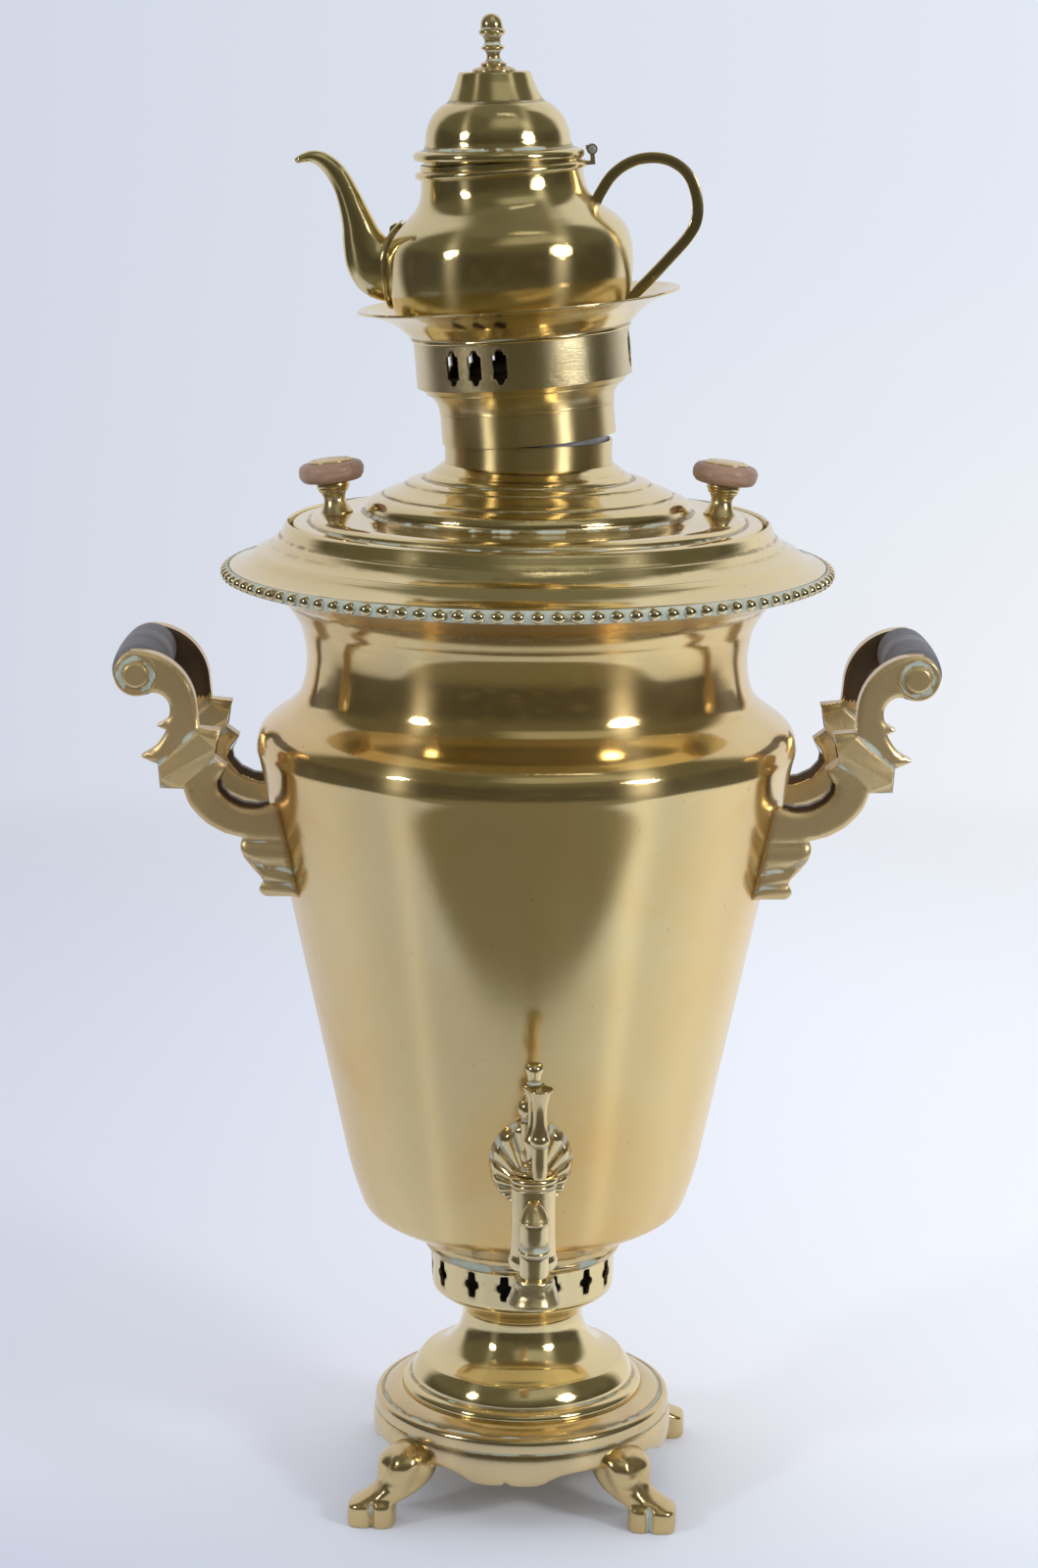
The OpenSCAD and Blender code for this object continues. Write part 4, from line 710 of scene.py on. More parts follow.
# ---------------------------------------------------------------- urn
urn_line = profile(
    [(47.0, 120.8), (50.8, 121.8), (53.0, 123.0), (55.5, 124.5), (58.2, 126.0), (60.9, 127.5),
    (63.8, 129.0), (66.7, 130.5), (69.0, 132.0), (70.8, 133.6), (71.9, 135.2), (72.7, 136.7), (73.4, 138.5),
    (74.3, 141.0), (75.1, 143.5), (76.0, 146.0), (77.2, 150.0), (78.6, 155.0), (79.72, 160.0),
    (83.95, 180.0), (88.17, 200.0), (92.39, 220.0), (96.62, 240.0), (101.0, 260.75), (105.2, 280.6),
    (109.4, 300.5), (112.8, 316.6), (116.1, 332.2), (117.6, 338.6), (118.6, 342.2), (118.9, 344.0),
    (118.6, 346.0), (118.0, 349.4), (117.2, 351.5), (115.9, 353.4), (114.3, 355.0), (111.2, 357.5),
    (107.5, 360.0), (104.3, 362.5), (101.7, 365.0), (99.95, 367.5), (98.8, 370.0), (97.4, 375.0),
    (96.8, 380.0), (96.6, 385.0), (97.2, 390.0), (98.2, 395.0), (98.9, 397.5), (100.0, 400.0),
    (101.6, 402.5), (103.1, 405.0), (105.7, 408.6), (108.6, 411.0), (111.8, 412.6), (118.3, 415.0),
    (125.6, 417.5), (129.6, 418.6), (131.0, 419.0)], gap=2.6)


def wall_radius(z, line=None):
    """Outer radius of a turned outline at one height."""
    line = line or urn_line
    for (r0, z0, _), (r1, z1, _) in zip(line, line[1:]):
        if z0 <= z <= z1 and z1 > z0:
            return r0 + (r1 - r0) * (z - z0) / (z1 - z0)
    return line[-1][0]


shell("urn_spun", urn_line, 1.2, "brass_urn", "urn", ["urn_body", "urn_shoulder", "urn_neck", "urn_flare"],
      segs=256, foot=URN_Z, head=BEAD_Z)
bottom = profile([(38.5, 120.8), (47.0, 120.8)], [(49.0, 122.0)], [(38.5, 122.0)])
ring_solid("urn_floor", bottom, "tube_grey", "urn")

# ---------------------------------------------------------------- beads and brim
core = profile(
    [(128.4, 419), (131.0, 419)], [(131.5, 419.7), (131.8, 421.8), (131.5, 423.9), (130.8, 424.6)],
    [(128.4, 424.6)])
bm = bmesh.new()
spin_rings(bm, core, True, 312, grime=[1.0] * len(core))
BEAD_COUNT, BEAD_R, BEAD_MID = 102, 131.4, 421.8
for k in range(BEAD_COUNT):
    own = bmesh.new()
    bmesh.ops.create_uvsphere(own, u_segments=18, v_segments=12, radius=2.6)
    cavity_layer = own.verts.layers.float.new("dirt")
    for v in own.verts:
        v[cavity_layer] = clip((abs(v.co.y) - 1.9) / 0.7)
    own.transform(turn_z(360 * k / BEAD_COUNT) @ shift(BEAD_R, 0, BEAD_MID) @ Matrix.Diagonal((1, 1.2, 1, 1)))
    join(bm, own)
finish("bead_band", bm, "brass_beads", "urn", ["bead_ring"])

brim_line = profile(
    [(130.6, 424.5), (127.8, 425.1), (124.3, 426.5), (121.5, 428.0), (119.7, 429.5), (118.0, 430.8)],
    [(117.6, 430.9), (117.2, 431.3)], [(114.3, 432.5), (111.8, 434.0), (110.2, 435.5), (108.9, 436.9)],
    [(108.3, 437.2), (107.8, 438.0)], [(107.2, 439.2), (106.8, 440.2), (106.3, 441.4), (105.8, 442.6),
    (105.2, 443.3), (104.6, 443.6)])
shell("brim_turned", brim_line, 1.2, "brass_polished", "urn", ["brim_ring"], segs=256,
      foot=BRIM_Z, extra=0.02)
ledge = profile([(96.6, 438.4), (106.4, 438.4)], [(106.4, 439.6)], [(96.6, 439.6)])
ring_solid("lid_ledge", ledge, "brass_polished", "urn", segs=160)

# ---------------------------------------------------------------- tap
# Backplate: an oval with flutes that spread from a point below its middle, laid on the urn's wall
PLATE_WIDE, PLATE_TALL, FAN_Z = 18.0, 21.2, -11.5
PLATE_RINGS, PLATE_STEPS, FLUTES = 28, 200, 11
SPOUT_Y = -11.5
bm = bmesh.new()
layer = dirt_layer(bm)
rows = []
for i in range(PLATE_RINGS + 1):
    rho = 0.05 + 0.95 * i / PLATE_RINGS
    row = []
    for a in turns(PLATE_STEPS):
        ca, sa = math.cos(a), math.sin(a)
        qa = (ca / PLATE_WIDE) ** 2 + (sa / PLATE_TALL) ** 2
        qb = 2 * FAN_Z * sa / PLATE_TALL ** 2
        qc = (FAN_Z / PLATE_TALL) ** 2 - 1
        edge = (-qb + math.sqrt(qb * qb - 4 * qa * qc)) / (2 * qa)
        wave = abs(math.cos(a * FLUTES)) ** 0.55
        u = rho * edge * ca
        w = FAN_Z + rho * edge * sa
        out = 1 + 0.02 * (wave - 0.6) * max(0, rho - 0.8) / 0.2
        u, w = u * out, w * out
        body = 3.6 * (1 - max(0, (rho - 0.86) / 0.14) ** 2.2)
        flute = 1.9 * wave * min(1, rho / 0.35) * (1 - max(0, (rho - 0.88) / 0.12) ** 2)
        z = TAP_Z + 12 + w
        surface = 75.6 + (z - 144) * 0.2275
        v = bm.verts.new((u, -math.sqrt(surface ** 2 - u * u) - max(0.0, body + flute - 0.2), z))
        v[layer] = min(1, max(0, 1.0 - wave * 1.15) + max(0, (rho - 0.9) * 6))
        row.append(v)
    rows.append(row)
for low, high in zip(rows, rows[1:]):
    for j in range(PLATE_STEPS):
        i = (j + 1) % PLATE_STEPS
        bm.faces.new((low[j], low[i], high[i], high[j]))
bm.faces.new(rows[0][::-1])
finish("tap_shell_plate", bm, "brass_fitting", "urn", ["tap_escutcheon"], turn_z(2.1))

barrel = profile(
    [(0, 140.4), (8.4, 140.4)], [(9.2, 140.9), (10.0, 142.2), (10.4, 143.8), (10.3, 145.4), (9.7, 147.0),
    (9.5, 149.0)], [(9.45, 160.0), (9.6, 176.4)], [(9.2, 177.0), (9.9, 177.6)], [(10.2, 178.1),
    (9.9, 178.7), (9.5, 179.0)], [(9.9, 179.3), (10.4, 180.0), (10.3, 181.0), (9.7, 181.8), (8.8, 182.2)],
    [(6.3, 182.2)], [(6.3, 179.8)], [(0, 179.8)])
bm = bmesh.new()
spin_rings(bm, barrel, False, 72, grime=[min(1, g * 1.3) for g in cavity(barrel, 1.5)])
shank = []
for k in range(13):
    y = 9 + 20.4 * k / 12
    grow = 7.4 + 1.3 * (max(0, k - 9) / 3) ** 2
    shank.append(hoop(grow, y, TAP_Z, 48))
skin(bm, shank)
finish("tap_barrel_cast", bm, "brass_fitting", "urn", ["tap_barrel"], TAP)

# Spout: a falling tube with a pointed shoulder, two bands and an elbow into the barrel
bm = bmesh.new()
stations = [(139.4, 6.1, 0), (143, 6.1, 0), (149.4, 6.15, 0), (150.3, 6.0, 0.9), (151.2, 6.7, 0.1),
            (152.4, 6.7, 0.1), (153.2, 6.05, 0.9), (158.0, 6.1, 0), (163.2, 6.1, 0), (164.2, 6.0, 0.9),
            (165.0, 6.5, 0.1), (165.8, 6.2, 0.5), (167.6, 5.7, 0), (169.6, 4.9, 0), (171.4, 3.7, 0),
            (172.8, 2.1, 0), (173.5, 0.6, 0)]
rings = []
grime = []
for z, r, g in curve(stations, 0.8):
    lean = max(0, (z - 165) / 8)
    ring = []
    for a in turns(48):
        ring.append((r * math.cos(a), SPOUT_Y + r * math.sin(a) * (1 - 0.15 * lean) + 2.6 * lean, z))
        grime.append(clip(g))
    rings.append(ring)
skin(bm, rings, grime=grime)
neck = []
for k in range(8):
    y = SPOUT_Y + 5.6 * k / 7
    r = 6.0 + 0.1 * k
    neck.append(hoop(r, y, 159.5, 40, 1.1))
skin(bm, neck)
web = [(4.6, 141.0), (4.6, 168.0), (2.5, 171.0), (-2.5, 171.0), (-4.6, 168.0), (-4.6, 141.0)]
web_rings = [[(x, y, z) for x, z in web] for y in (-9.2, -6.0)]
skin(bm, web_rings)
finish("tap_spout_cast", bm, "brass_fitting", "urn", ["tap_spout"], TAP)

nozzle = profile(
    [(3.4, 134.9), (7.0, 134.9), (7.0, 128.9)], [(10.8, 128.9)], [(11.5, 129.3), (11.5, 130.2),
    (10.9, 131.4), (10.0, 133.4), (9.2, 136.0), (8.7, 138.4), (8.6, 139.6), (8.0, 140.4)], [(3.4, 140.4)])
bm = bmesh.new()
spin_rings(bm, nozzle, True, 64, wavy(0.28, 3.5), grime=[min(1, g + 0.22) for g in cavity(nozzle)])
finish("tap_nozzle_cast", bm, "brass_rough", "urn", ["tap_nozzle"], TAP @ shift(0, SPOUT_Y, 0))

# Plug: its head shows above the barrel
plug = profile(
    [(0, 179.9), (6.2, 179.9)], [(6.2, 182.3)], [(7.5, 182.45), (7.8, 182.9), (7.6, 183.6), (7.0, 183.9),
    (5.6, 184.0)], [(5.0, 184.3), (5.0, 184.9)], [(0, 184.9)])
solid("tap_plug_head", plug, "brass_fitting", "tap_key", ["tap_plug"], KEY, extra=0.1)

bm = bmesh.new()
stem = profile(
    [(0, 184.9), (5.0, 184.9)], [(5.4, 185.2), (5.3, 185.9), (4.6, 186.4)], [(3.4, 187.4), (3.0, 189.0),
    (3.3, 192.0), (4.3, 195.0), (4.4, 197.0), (3.4, 199.6), (2.7, 203.0), (2.5, 208.0), (2.6, 213.6)],
    [(4.2, 218.4), (5.0, 219.6), (5.1, 220.4), (4.2, 221.2), (3.0, 221.7)], [(2.7, 223.0), (3.2, 225.6),
    (3.9, 227.4), (3.7, 229.0), (2.4, 230.2), (0, 230.5)])
spin_rings(bm, stem, False, 40, grime=cavity(stem, 1.5))
front_arm = profile(
    [(0, 183.2), (1.6, 183.3), (2.8, 184.0), (3.0, 185.6), (3.2, 188.6), (3.3, 193.6), (3.5, 198.6)],
    [(4.1, 199.4), (4.2, 201.0), (3.7, 202.4)], [(3.1, 206.0), (2.9, 210.0), (3.1, 214.6), (3.9, 218.4),
    (4.7, 220.8), (5.4, 221.9)], [(5.6, 222.3), (5.4, 222.8), (0, 222.9)])
rear_arm = profile(
    [(0, 183.2), (2.0, 183.5), (3.0, 184.6), (3.1, 187.0), (2.8, 190.0), (3.0, 196.0), (3.4, 200.6)],
    [(3.0, 202.0), (3.2, 203.4)], [(4.2, 205.0), (4.6, 207.0), (4.0, 209.2), (2.6, 210.6)], [(2.0, 212.4),
    (1.9, 216.0), (1.2, 218.4), (0, 219.0)])
for y, arm in ((-12.6, front_arm), (12.6, rear_arm)):
    own = bmesh.new()
    spin_rings(own, arm, False, 36, grime=[min(1, g + 0.05) for g in cavity(arm, 1.5)])
    own.transform(shift(0, y, 0))
    join(bm, own)


def strip(line, width):
    """Closed (x, z) outline of a ribbon along a line of (x, z) points."""
    up, down = [], []
    for i, p in enumerate(line):
        dx, dz = heading(line, i)
        up.append((p[0] - width / 2 * dz, p[1] + width / 2 * dx))
        down.append((p[0] + width / 2 * dz, p[1] - width / 2 * dx))
    return up + down[::-1]


for s in (-1, 1):
    for q0, q1, dip in ((187.6, 189.8, -3), (211.0, 208.0, 4)):
        line = curve([(0, q0), (s * 4.2, q0 + dip / 2), (s * 8.8, q0 + 0.6 * (q1 - q0) + dip / 2),
                      (s * 12.6, q1)], 1.4)
        slab(bm, strip(line, 3.8), 4.2, 1.0, 2, at=turn_z(90))
finish("tap_key_cast", bm, "brass_fitting", "tap_key", ["tap_key"], KEY)

# ---------------------------------------------------------------- handles
def bracket_outline():
    """Side view of a bracket: x is the distance from the urn's axis less the grip's, z from the rod."""
    top = arc(0, 0, 9.6, -122, 72, 22) + arc(0, -15.6, 25.6, 84, 176, 26)
    top += [(-26.4, -23.4), (-35.7, -24.4), (-32.4, -35.6), (-38.6, -40.2)]
    top += curve([(-34.4, -46.2), (-34.6, -50.6), (-38.6, -55.4), (-45.0, -58.7), (-51.6, -59.3),
                  (-56.4, -57.8)], 1.6)
    foot = [(-60, -57.8 - 40.6 * k / 8) for k in range(9)]
    low = curve([(-58.6, -98.0), (-54.2, -97.3), (-52.1, -94.6), (-53.9, -91.4), (-52.6, -88.6)], 1.0)
    low += curve([(-49.2, -85.2), (-45.6, -80.2), (-44.2, -75.2), (-45.1, -71.8)], 1.2)
    low += curve([(-37.4, -69.6), (-29.4, -65.0), (-22.6, -57.6), (-19.7, -50.2)], 1.6)
    low += [(-9.5, -50.0), (-8.7, -39.4), (-4.6, -37.6)]
    low += curve([(-1.6, -36.0), (-7.6, -32.2), (-11.4, -26.9), (-12.6, -24.2)], 1.3)
    low += [(-10.6, -22.2)] + arc(-6.8, -15.6, 7.6, 215, 98, 14)
    return top, foot, low


CREASES = [
    # start, end and half width of the lines where verdigris lies, in the bracket's side view
    ((-9.2, -39.2), (-25.0, -24.4), 2.0),
    ((-9.8, -49.5), (-33.4, -37.0), 2.0),
    ((-45.5, -72.4), (-58.5, -74.0), 1.1),
    ((-46, -80), (-59, -87), 1.6),
    ((-52, -89), (-59.5, -95), 1.3)]


def line_gap(p, a, b):
    """Distance from p to the line from a to b."""
    dx, dz = b[0] - a[0], b[1] - a[1]
    t = clip(((p[0] - a[0]) * dx + (p[1] - a[1]) * dz) / (dx * dx + dz * dz))
    return math.hypot(p[0] - a[0] - t * dx, p[1] - a[1] - t * dz)


def carved(bm, outline, depth, bevel, shape, spacing=1.7):
    """A flat plate along the XZ plane whose faces are meshed, so that they can be carved."""
    flat = [Vector(p) for p in outline]
    edges = [(i, (i + 1) % len(flat)) for i in range(len(flat))]
    low = [min(p[k] for p in outline) for k in (0, 1)]
    high = [max(p[k] for p in outline) for k in (0, 1)]
    points = list(flat)
    i = 0
    z = low[1]
    while z < high[1]:
        x = low[0] + (i % 2) * spacing / 2
        while x < high[0]:
            if inside((x, z), outline):
                gap = min(line_gap((x, z), outline[k - 1], outline[k]) for k in range(len(outline)))
                if gap > 0.45 * spacing:
                    points.append(Vector((x, z)))
            x += spacing
        z += spacing * 0.87
        i += 1
    verts, _, faces, _, _, _ = delaunay_2d_cdt(points, edges, [], 1, 1e-4)
    rim = {(round(p[0], 3), round(p[1], 3)) for p in outline}
    sides = []
    for y in (-1, 1):
        row = []
        for p in verts:
            at_rim = (round(p[0], 3), round(p[1], 3)) in rim
            gap = 0 if at_rim else min(line_gap(p, outline[k - 1], outline[k]) for k in range(len(outline)))
            soft = bevel * (1 - min(1, gap / (1.6 * bevel))) ** 2
            row.append(bm.verts.new((p[0], y * (depth / 2 - soft + shape(p)), p[1])))
        sides.append(row)
    two_sided(bm, sides, verts, faces, lambda c: inside(c, outline))


def bracket_relief(p):
    """Shallow hollows of the bracket's faces: beside the creases and across the lower leaf."""
    sunk = max(1 - line_gap(p, a, b) / (1.4 * wide) for a, b, wide in CREASES)
    leaf = math.sin((p[1] + 70) * 0.55) if p[1] < -70 and p[0] > -58 else 0
    return -0.5 * max(0, sunk) + 0.5 * leaf


def bracket_piece(name, sx, sy, node):
    bm = bmesh.new()
    layer = dirt_layer(bm)
    top, foot, low = bracket_outline()
    carved(bm, top + foot + low, 10.6, 1.5, bracket_relief)
    lip = [(-38.6, -40.4), (-35.6, -46.4), (-36.2, -50.2), (-39.6, -54.0), (-45.4, -56.8), (-51.6, -57.5),
           (-57.2, -56.4), (-58.4, -62.0), (-50.0, -64.0), (-40.0, -60.0), (-33.0, -50.0)]
    first = len(bm.faces)
    slab(bm, lip, 4.6, 0.5, 1, at=shift(0, -2.6 * sy, 0))
    bm.faces.ensure_lookup_table()
    lips = set(bm.faces[first:])
    # Raised block where the two curves meet, with a ridge along its middle
    for y in (-1, 1):
        low_face = [(-9.2, -39.4), (-25.0, -24.6), (-34.6, -28.2), (-33.2, -36.6), (-20.2, -49.4),
                    (-9.8, -49.2)]
        ridge = [(-10.6, -45.0), (-33.6, -31.6)]
        ends = [ridge[k] for k in (0, 1, 1, 1, 0, 0)]
        base = [bm.verts.new((px, y * 5.0, pz)) for px, pz in low_face]
        step = [bm.verts.new((px + 0.2 * (ex - px), y * 5.6, pz + 0.2 * (ez - pz)))
                for (px, pz), (ex, ez) in zip(low_face, ends)]
        a, b = [bm.verts.new((px, y * 7.4, pz)) for px, pz in ridge]
        quads = [(base[k], base[(k + 1) % 6], step[(k + 1) % 6], step[k]) for k in range(6)]
        quads += [(step[0], step[1], b, a), (step[1], step[2], b), (step[2], step[3], b),
                  (step[3], step[4], a, b), (step[4], step[5], a), (step[5], step[0], a)]
        for quad in quads:
            face = bm.faces.new(quad if y < 0 else quad[::-1])
            for e in face.edges:
                e.smooth = False
    # Low boss round the rod's head, with a groove between them
    ring = profile([(5.9, -0.9), (6.2, -0.9)], [(7.0, -0.2), (8.2, 0.3), (9.3, 0.0), (9.6, -0.9)], gap=0.6)
    own = bmesh.new()
    spin_rings(own, ring, False, 48)
    own.transform(turn_x(90))
    own.transform(shift(0, 5.3 * sy, 0) @ turn_z(0 if sy < 0 else 180))
    join(bm, own)
    for v in bm.verts:
        x, z = v.co.x, v.co.z
        d = max(1 - line_gap((x, z), a, b) / wide for a, b, wide in CREASES)
        if 5.6 < math.hypot(x, z) < 8.2 and abs(v.co.y) > 4:
            d = 0.9
        v[layer] = clip(d)
    # The foot follows the urn's wall
    for v in bm.verts:
        if v.co.x < -55.5:
            y = abs(BRACKET_Y * sy + v.co.y)
            v.co.x = math.sqrt(wall_radius(GRIP_Z + v.co.z) ** 2 - y ** 2) - 0.4 - GRIP_X + (v.co.x + 60)
    # The rear brackets' faces toward the grip, above the block, and every bracket's lip take the dark brown
    # material: partly real oxide, partly painted shade near the grip and under the scroll.
    for face in bm.faces:
        if face.normal.y == 0:
            face.normal_update()
        inner = face.normal.y * sy < -0.5 and sy > 0 and face.calc_center_median().z > -22
        face.material_index = 1 if inner or face in lips else 0
    flip = Matrix.Identity(4) if sx > 0 else Matrix.Scale(-1, 4, (1, 0, 0))
    at = flip @ shift(GRIP_X, BRACKET_Y * sy, GRIP_Z)
    finish(name, bm, ["brass_cast", "bracket_back"], "urn", [node], at)


for side, sx in (("left", -1), ("right", 1)):
    for end, sy in (("front", -1), ("rear", 1)):
        bracket_piece(f"scroll_{end}_{side}", sx, sy, f"bracket_{end}_{side}")
    lay = shift(sx * GRIP_X, 0, GRIP_Z) @ turn_x(90)
    rod = profile(
        [(0, -42.2), (4.2, -42.1), (5.3, -41.6), (5.8, -40.6), (5.8, -39.0)], [(4.0, -39.0)], [(4.0, 39.0)],
        [(5.8, 39.0)], [(5.8, 40.6), (5.3, 41.6), (4.2, 42.1), (0, 42.2)])
    solid(f"rod_{side}", rod, "brass_cast", "urn", [f"handle_rod_{side}"], lay, extra=0.05)
    half = []
    for k in range(101):
        y = GRIP_HALF * k / 100
        r = 12.1 - 0.8 * (y / GRIP_HALF) ** 2.2
        r -= 0.7 * max(0, math.cos(y * 2.4)) ** 2 if 6 < y < 27.4 else 0
        half.append((r, y))
    line = [(r, -y, False) for r, y in half[:0:-1]] + [(r, y, False) for r, y in half]
    line = [(4.05, -GRIP_HALF, True), (9.0, -GRIP_HALF, False)] + line
    line += [(9.0, GRIP_HALF, False), (4.05, GRIP_HALF, True)]
    ring_solid(f"wood_grip_{side}", line, "wood_grey", f"grip_{side}", [f"grip_{side}"], lay,
               segs=72)

# ---------------------------------------------------------------- lid and knobs
lid_line = profile(
    [(102.3, 0), (102.3, 2.3), (102.1, 2.9), (101.5, 3.2)],
    [(99.0, 3.4), (97.0, 3.4), (96.0, 3.2)], [(95.3, 2.9),
    (94.9, 3.6)], [(94.3, 4.8), (92.6, 5.8), (89.6, 6.3),
    (86.0, 6.4), (80.0, 6.6), (75.6, 6.9), (72.9, 7.4)],
    [(71.7, 7.8), (71.0, 9.0), (70.7, 10.6), (69.8, 12.2),
    (68.0, 13.5), (65.6, 14.5), (63.6, 15.0)], [(62.9, 15.1),
    (62.6, 15.8)], [(61.4, 16.6), (58.6, 17.6), (55.6, 18.8),
    (53.6, 19.8)], [(53.0, 20.1), (52.6, 20.7)], [(51.4, 21.3),
    (49.0, 21.8), (46.0, 22.0)], [(45.2, 22.2), (44.8, 22.9)],
    [(43.6, 24.1), (41.4, 25.4), (40.0, 26.6), (38.4, 27.9),
    (36.9, 29.0)], [(35.4, 29.0)], gap=0.8, base=LID_Z)
shell("lid_turned", lid_line, 1.2, "brass_polished", "lid", ["lid_dome"], segs=256,
      foot=LID_Z, extra=0.01)
collar = profile([(36.3, LID_TOP), (36.3, COLLAR_TOP - 0.3)], [(36.0, COLLAR_TOP)])
shell("lid_collar_drawn", collar, 1.2, "brass_drawn", "lid", ["lid_collar"], segs=128,
      head=COLLAR_TOP)

for side, sx in (("left", -1), ("right", 1)):
    at = shift(sx * 83.5, 0, LID_Z + 6.1) @ turn_y(sx * 6.5)
    line = profile(
        [(0, -1.4), (7.0, -1.0)], [(7.4, 0.2), (6.9, 1.1)], [(5.7, 3.2), (4.8, 5.6), (4.7, 7.2),
        (5.6, 9.4)], [(6.4, 9.9), (6.6, 10.8)], [(7.2, 11.8), (7.3, 13.2), (6.9, 14.0)], [(0, 14.0)],
        gap=0.6)
    solid(f"knob_post_{side}", line, "brass_fitting", "lid", [f"knob_stem_{side}"], at,
          extra=0.22)
    line = profile(
        [(0, 14.0), (9.6, 14.0)], [(12.2, 14.5), (13.7, 16.2), (14.1, 18.3), (13.8, 20.4), (12.6, 22.0),
        (10.6, 22.6)], [(0, 22.6)], gap=0.6)
    solid(f"knob_wood_{side}", line, "wood_brown", "lid", [f"knob_button_{side}"], at, segs=80,
          shape=wavy(0.3, 2.5))
    line = profile(
        [(0, 22.6), (9.4, 22.6)], [(9.5, 23.0), (8.9, 23.5), (7.6, 23.7)], [(7.3, 23.4), (6.9, 23.7)],
        [(4.5, 24.0), (2.2, 24.1)], [(1.2, 23.9), (0, 23.9)], gap=0.4)
    solid(f"knob_disc_{side}", line, "brass_cast", "lid", [f"knob_cap_{side}"], at,
          extra=0.14)

# ---------------------------------------------------------------- crown
ring_line = profile(
    [(37.7, -3.0), (37.6, 10.4)], [(38.1, 10.7), (37.9, 11.4)], [(38.1, 13.0), (39.0, 15.4), (40.6, 17.4),
    (41.9, 18.6)], [(42.8, 18.9), (43.0, 19.6)], [(44.6, 20.9), (46.0, 21.6), (46.6, 22.0)], gap=0.6)
# The cove's inner face is dark brown: partly real oxide, partly painted shade inside the crown.
shell("crown_cove", ring_line, 0.8, "brass_drawn", "crown", ["crown_ring"], CROWN,
      segs=160, head=22, extra=-0.75, inner="bracket_back")


def slot_hole(centre):
    """Slot of the gallery: an oblong with a narrower round-ended notch above and below."""
    h = 5.0
    right = [(3.15, -h), (3.15, h), (2.2, h + 0.1), (1.75, h + 0.9)]
    top = arc(0, 6.3, 1.5, 10, 170, 6)
    left = [(-1.75, h + 0.9), (-2.2, h + 0.1), (-3.15, h), (-3.15, -h)]
    low = [(-2.2, -h - 0.1), (-1.75, -h - 0.9)] + arc(0, -6.3, 1.5, 190, 350, 6)
    low += [(1.75, -h - 0.9), (2.2, -h - 0.1)]
    shape = right + top + left + low
    out = []
    for px, pz in shape:
        rough = 0.22 * noise.noise(Vector((px * 0.9, pz * 0.9, centre)))
        out.append((centre + (px + rough) / 0.8133, 32.2 + pz * 0.98 + rough))
    return out


GALLERY_SEAM = 64.0
slots = [slot_hole(60 + g * 120 + k * 13.8) for g in range(3) for k in (-1, 0, 1)]
# The gallery's inner face and the crown's ledge are dark brown: partly real oxide, partly painted shade seen
# through the slots.
bm = bmesh.new()
pierced(bm, lambda z: 46.6, 22.0, 41.7, slots, 1.2, seam=GALLERY_SEAM, segs=200)
finish("crown_gallery_cut", bm, ["brass_brushed", "bracket_back"], "crown", ["crown_gallery"],
       CROWN)
repaint("crown_ledge", "bracket_back")
dish_line = profile(
    [(46.6, 41.7), (47.3, 41.8), (47.6, 42.6), (47.4, 43.2)], [(48.8, 44.8), (50.6, 46.6), (53.4, 49.2),
    (57.4, 51.7), (62.2, 53.8), (66.6, 55.2), (69.2, 55.9)], [(69.9, 56.1), (69.8, 56.6)], [(69.0, 57.0)],
    gap=0.7)
shell("crown_dish_turned", dish_line, 1.1, "brass_polished", "crown", ["crown_dish"], CROWN,
      segs=192, foot=41.7, extra=0.02)

# ---------------------------------------------------------------- teapot
pot_line = profile(
    [(36.2, 0), (37.2, 0.3), (39.6, 1.4)], [(41.6, 2.6), (45.2, 5.8), (48.8, 11.2), (50.9, 16.0),
    (52.4, 21.4), (53.3, 27.0), (53.6, 32.0), (53.4, 37.0), (52.6, 41.4), (51.2, 44.8), (49.0, 47.8),
    (46.0, 50.6), (42.4, 53.4), (39.2, 56.2), (36.9, 59.4), (35.6, 63.0), (35.0, 66.6), (34.8, 70.0),
    (34.7, 75.4)], [(34.3, 76.0)], gap=0.8)
shell("teapot_spun", pot_line, 1.2, "brass_pot", "teapot", ["teapot_body"], POT, segs=192,
      foot=0, head=76, inner="tube_grey")
disc = profile([(0, 0), (36.2, 0)], [(36.2, 1.2)], [(0, 1.2)])
solid("teapot_floor", disc, "tube_grey", "teapot", at=POT, segs=96)
bead = profile(
    [(34.75, 69.6), (35.6, 69.8), (36.7, 70.5), (37.1, 71.6), (36.8, 72.7), (35.8, 73.4), (34.75, 73.6)],
    gap=0.5)
ring_solid("teapot_neck_bead", bead, "brass_pot", "teapot", ["teapot_neck_ring"], POT,
           segs=128, extra=0.06)

# Spout: stations of reach, height, half height of the section and its share across
spout = [(-47.0, 34.6, 15.0, 0.55), (-51.5, 34.9, 15.6, 0.58), (-55.6, 36.2, 14.4, 0.62),
         (-59.2, 40.0, 11.6, 0.70), (-61.6, 46.4, 9.0, 0.80), (-63.2, 54.0, 7.0, 0.92),
         (-65.2, 62.0, 5.6, 1.0), (-67.8, 70.2, 4.7, 1.0), (-71.4, 77.0, 4.2, 1.0),
         (-75.6, 81.4, 3.5, 1.1), (-80.0, 83.3, 2.7, 1.25), (-84.2, 83.0, 2.0, 1.4),
         (-87.3, 81.9, 1.3, 1.5)]
line = curve(spout, 1.3)
bm = bmesh.new()
outer, hollow = [], []
for i, (x, z, half, share) in enumerate(line):
    dx, dz = heading(line, i)
    nx, nz = -dz, dx
    for store, thin in ((outer, 0.0), (hollow, 0.9)):
        h = max(0.4, half - thin)
        store.append([(x + h * math.cos(t) * nx, -h * share * math.sin(t), z + h * math.cos(t) * nz)
                      for t in turns(40)])
skin(bm, outer + hollow[::-1], closed=True)
finish("teapot_spout_drawn", bm, "brass_pot", "teapot", ["teapot_spout"], POT)

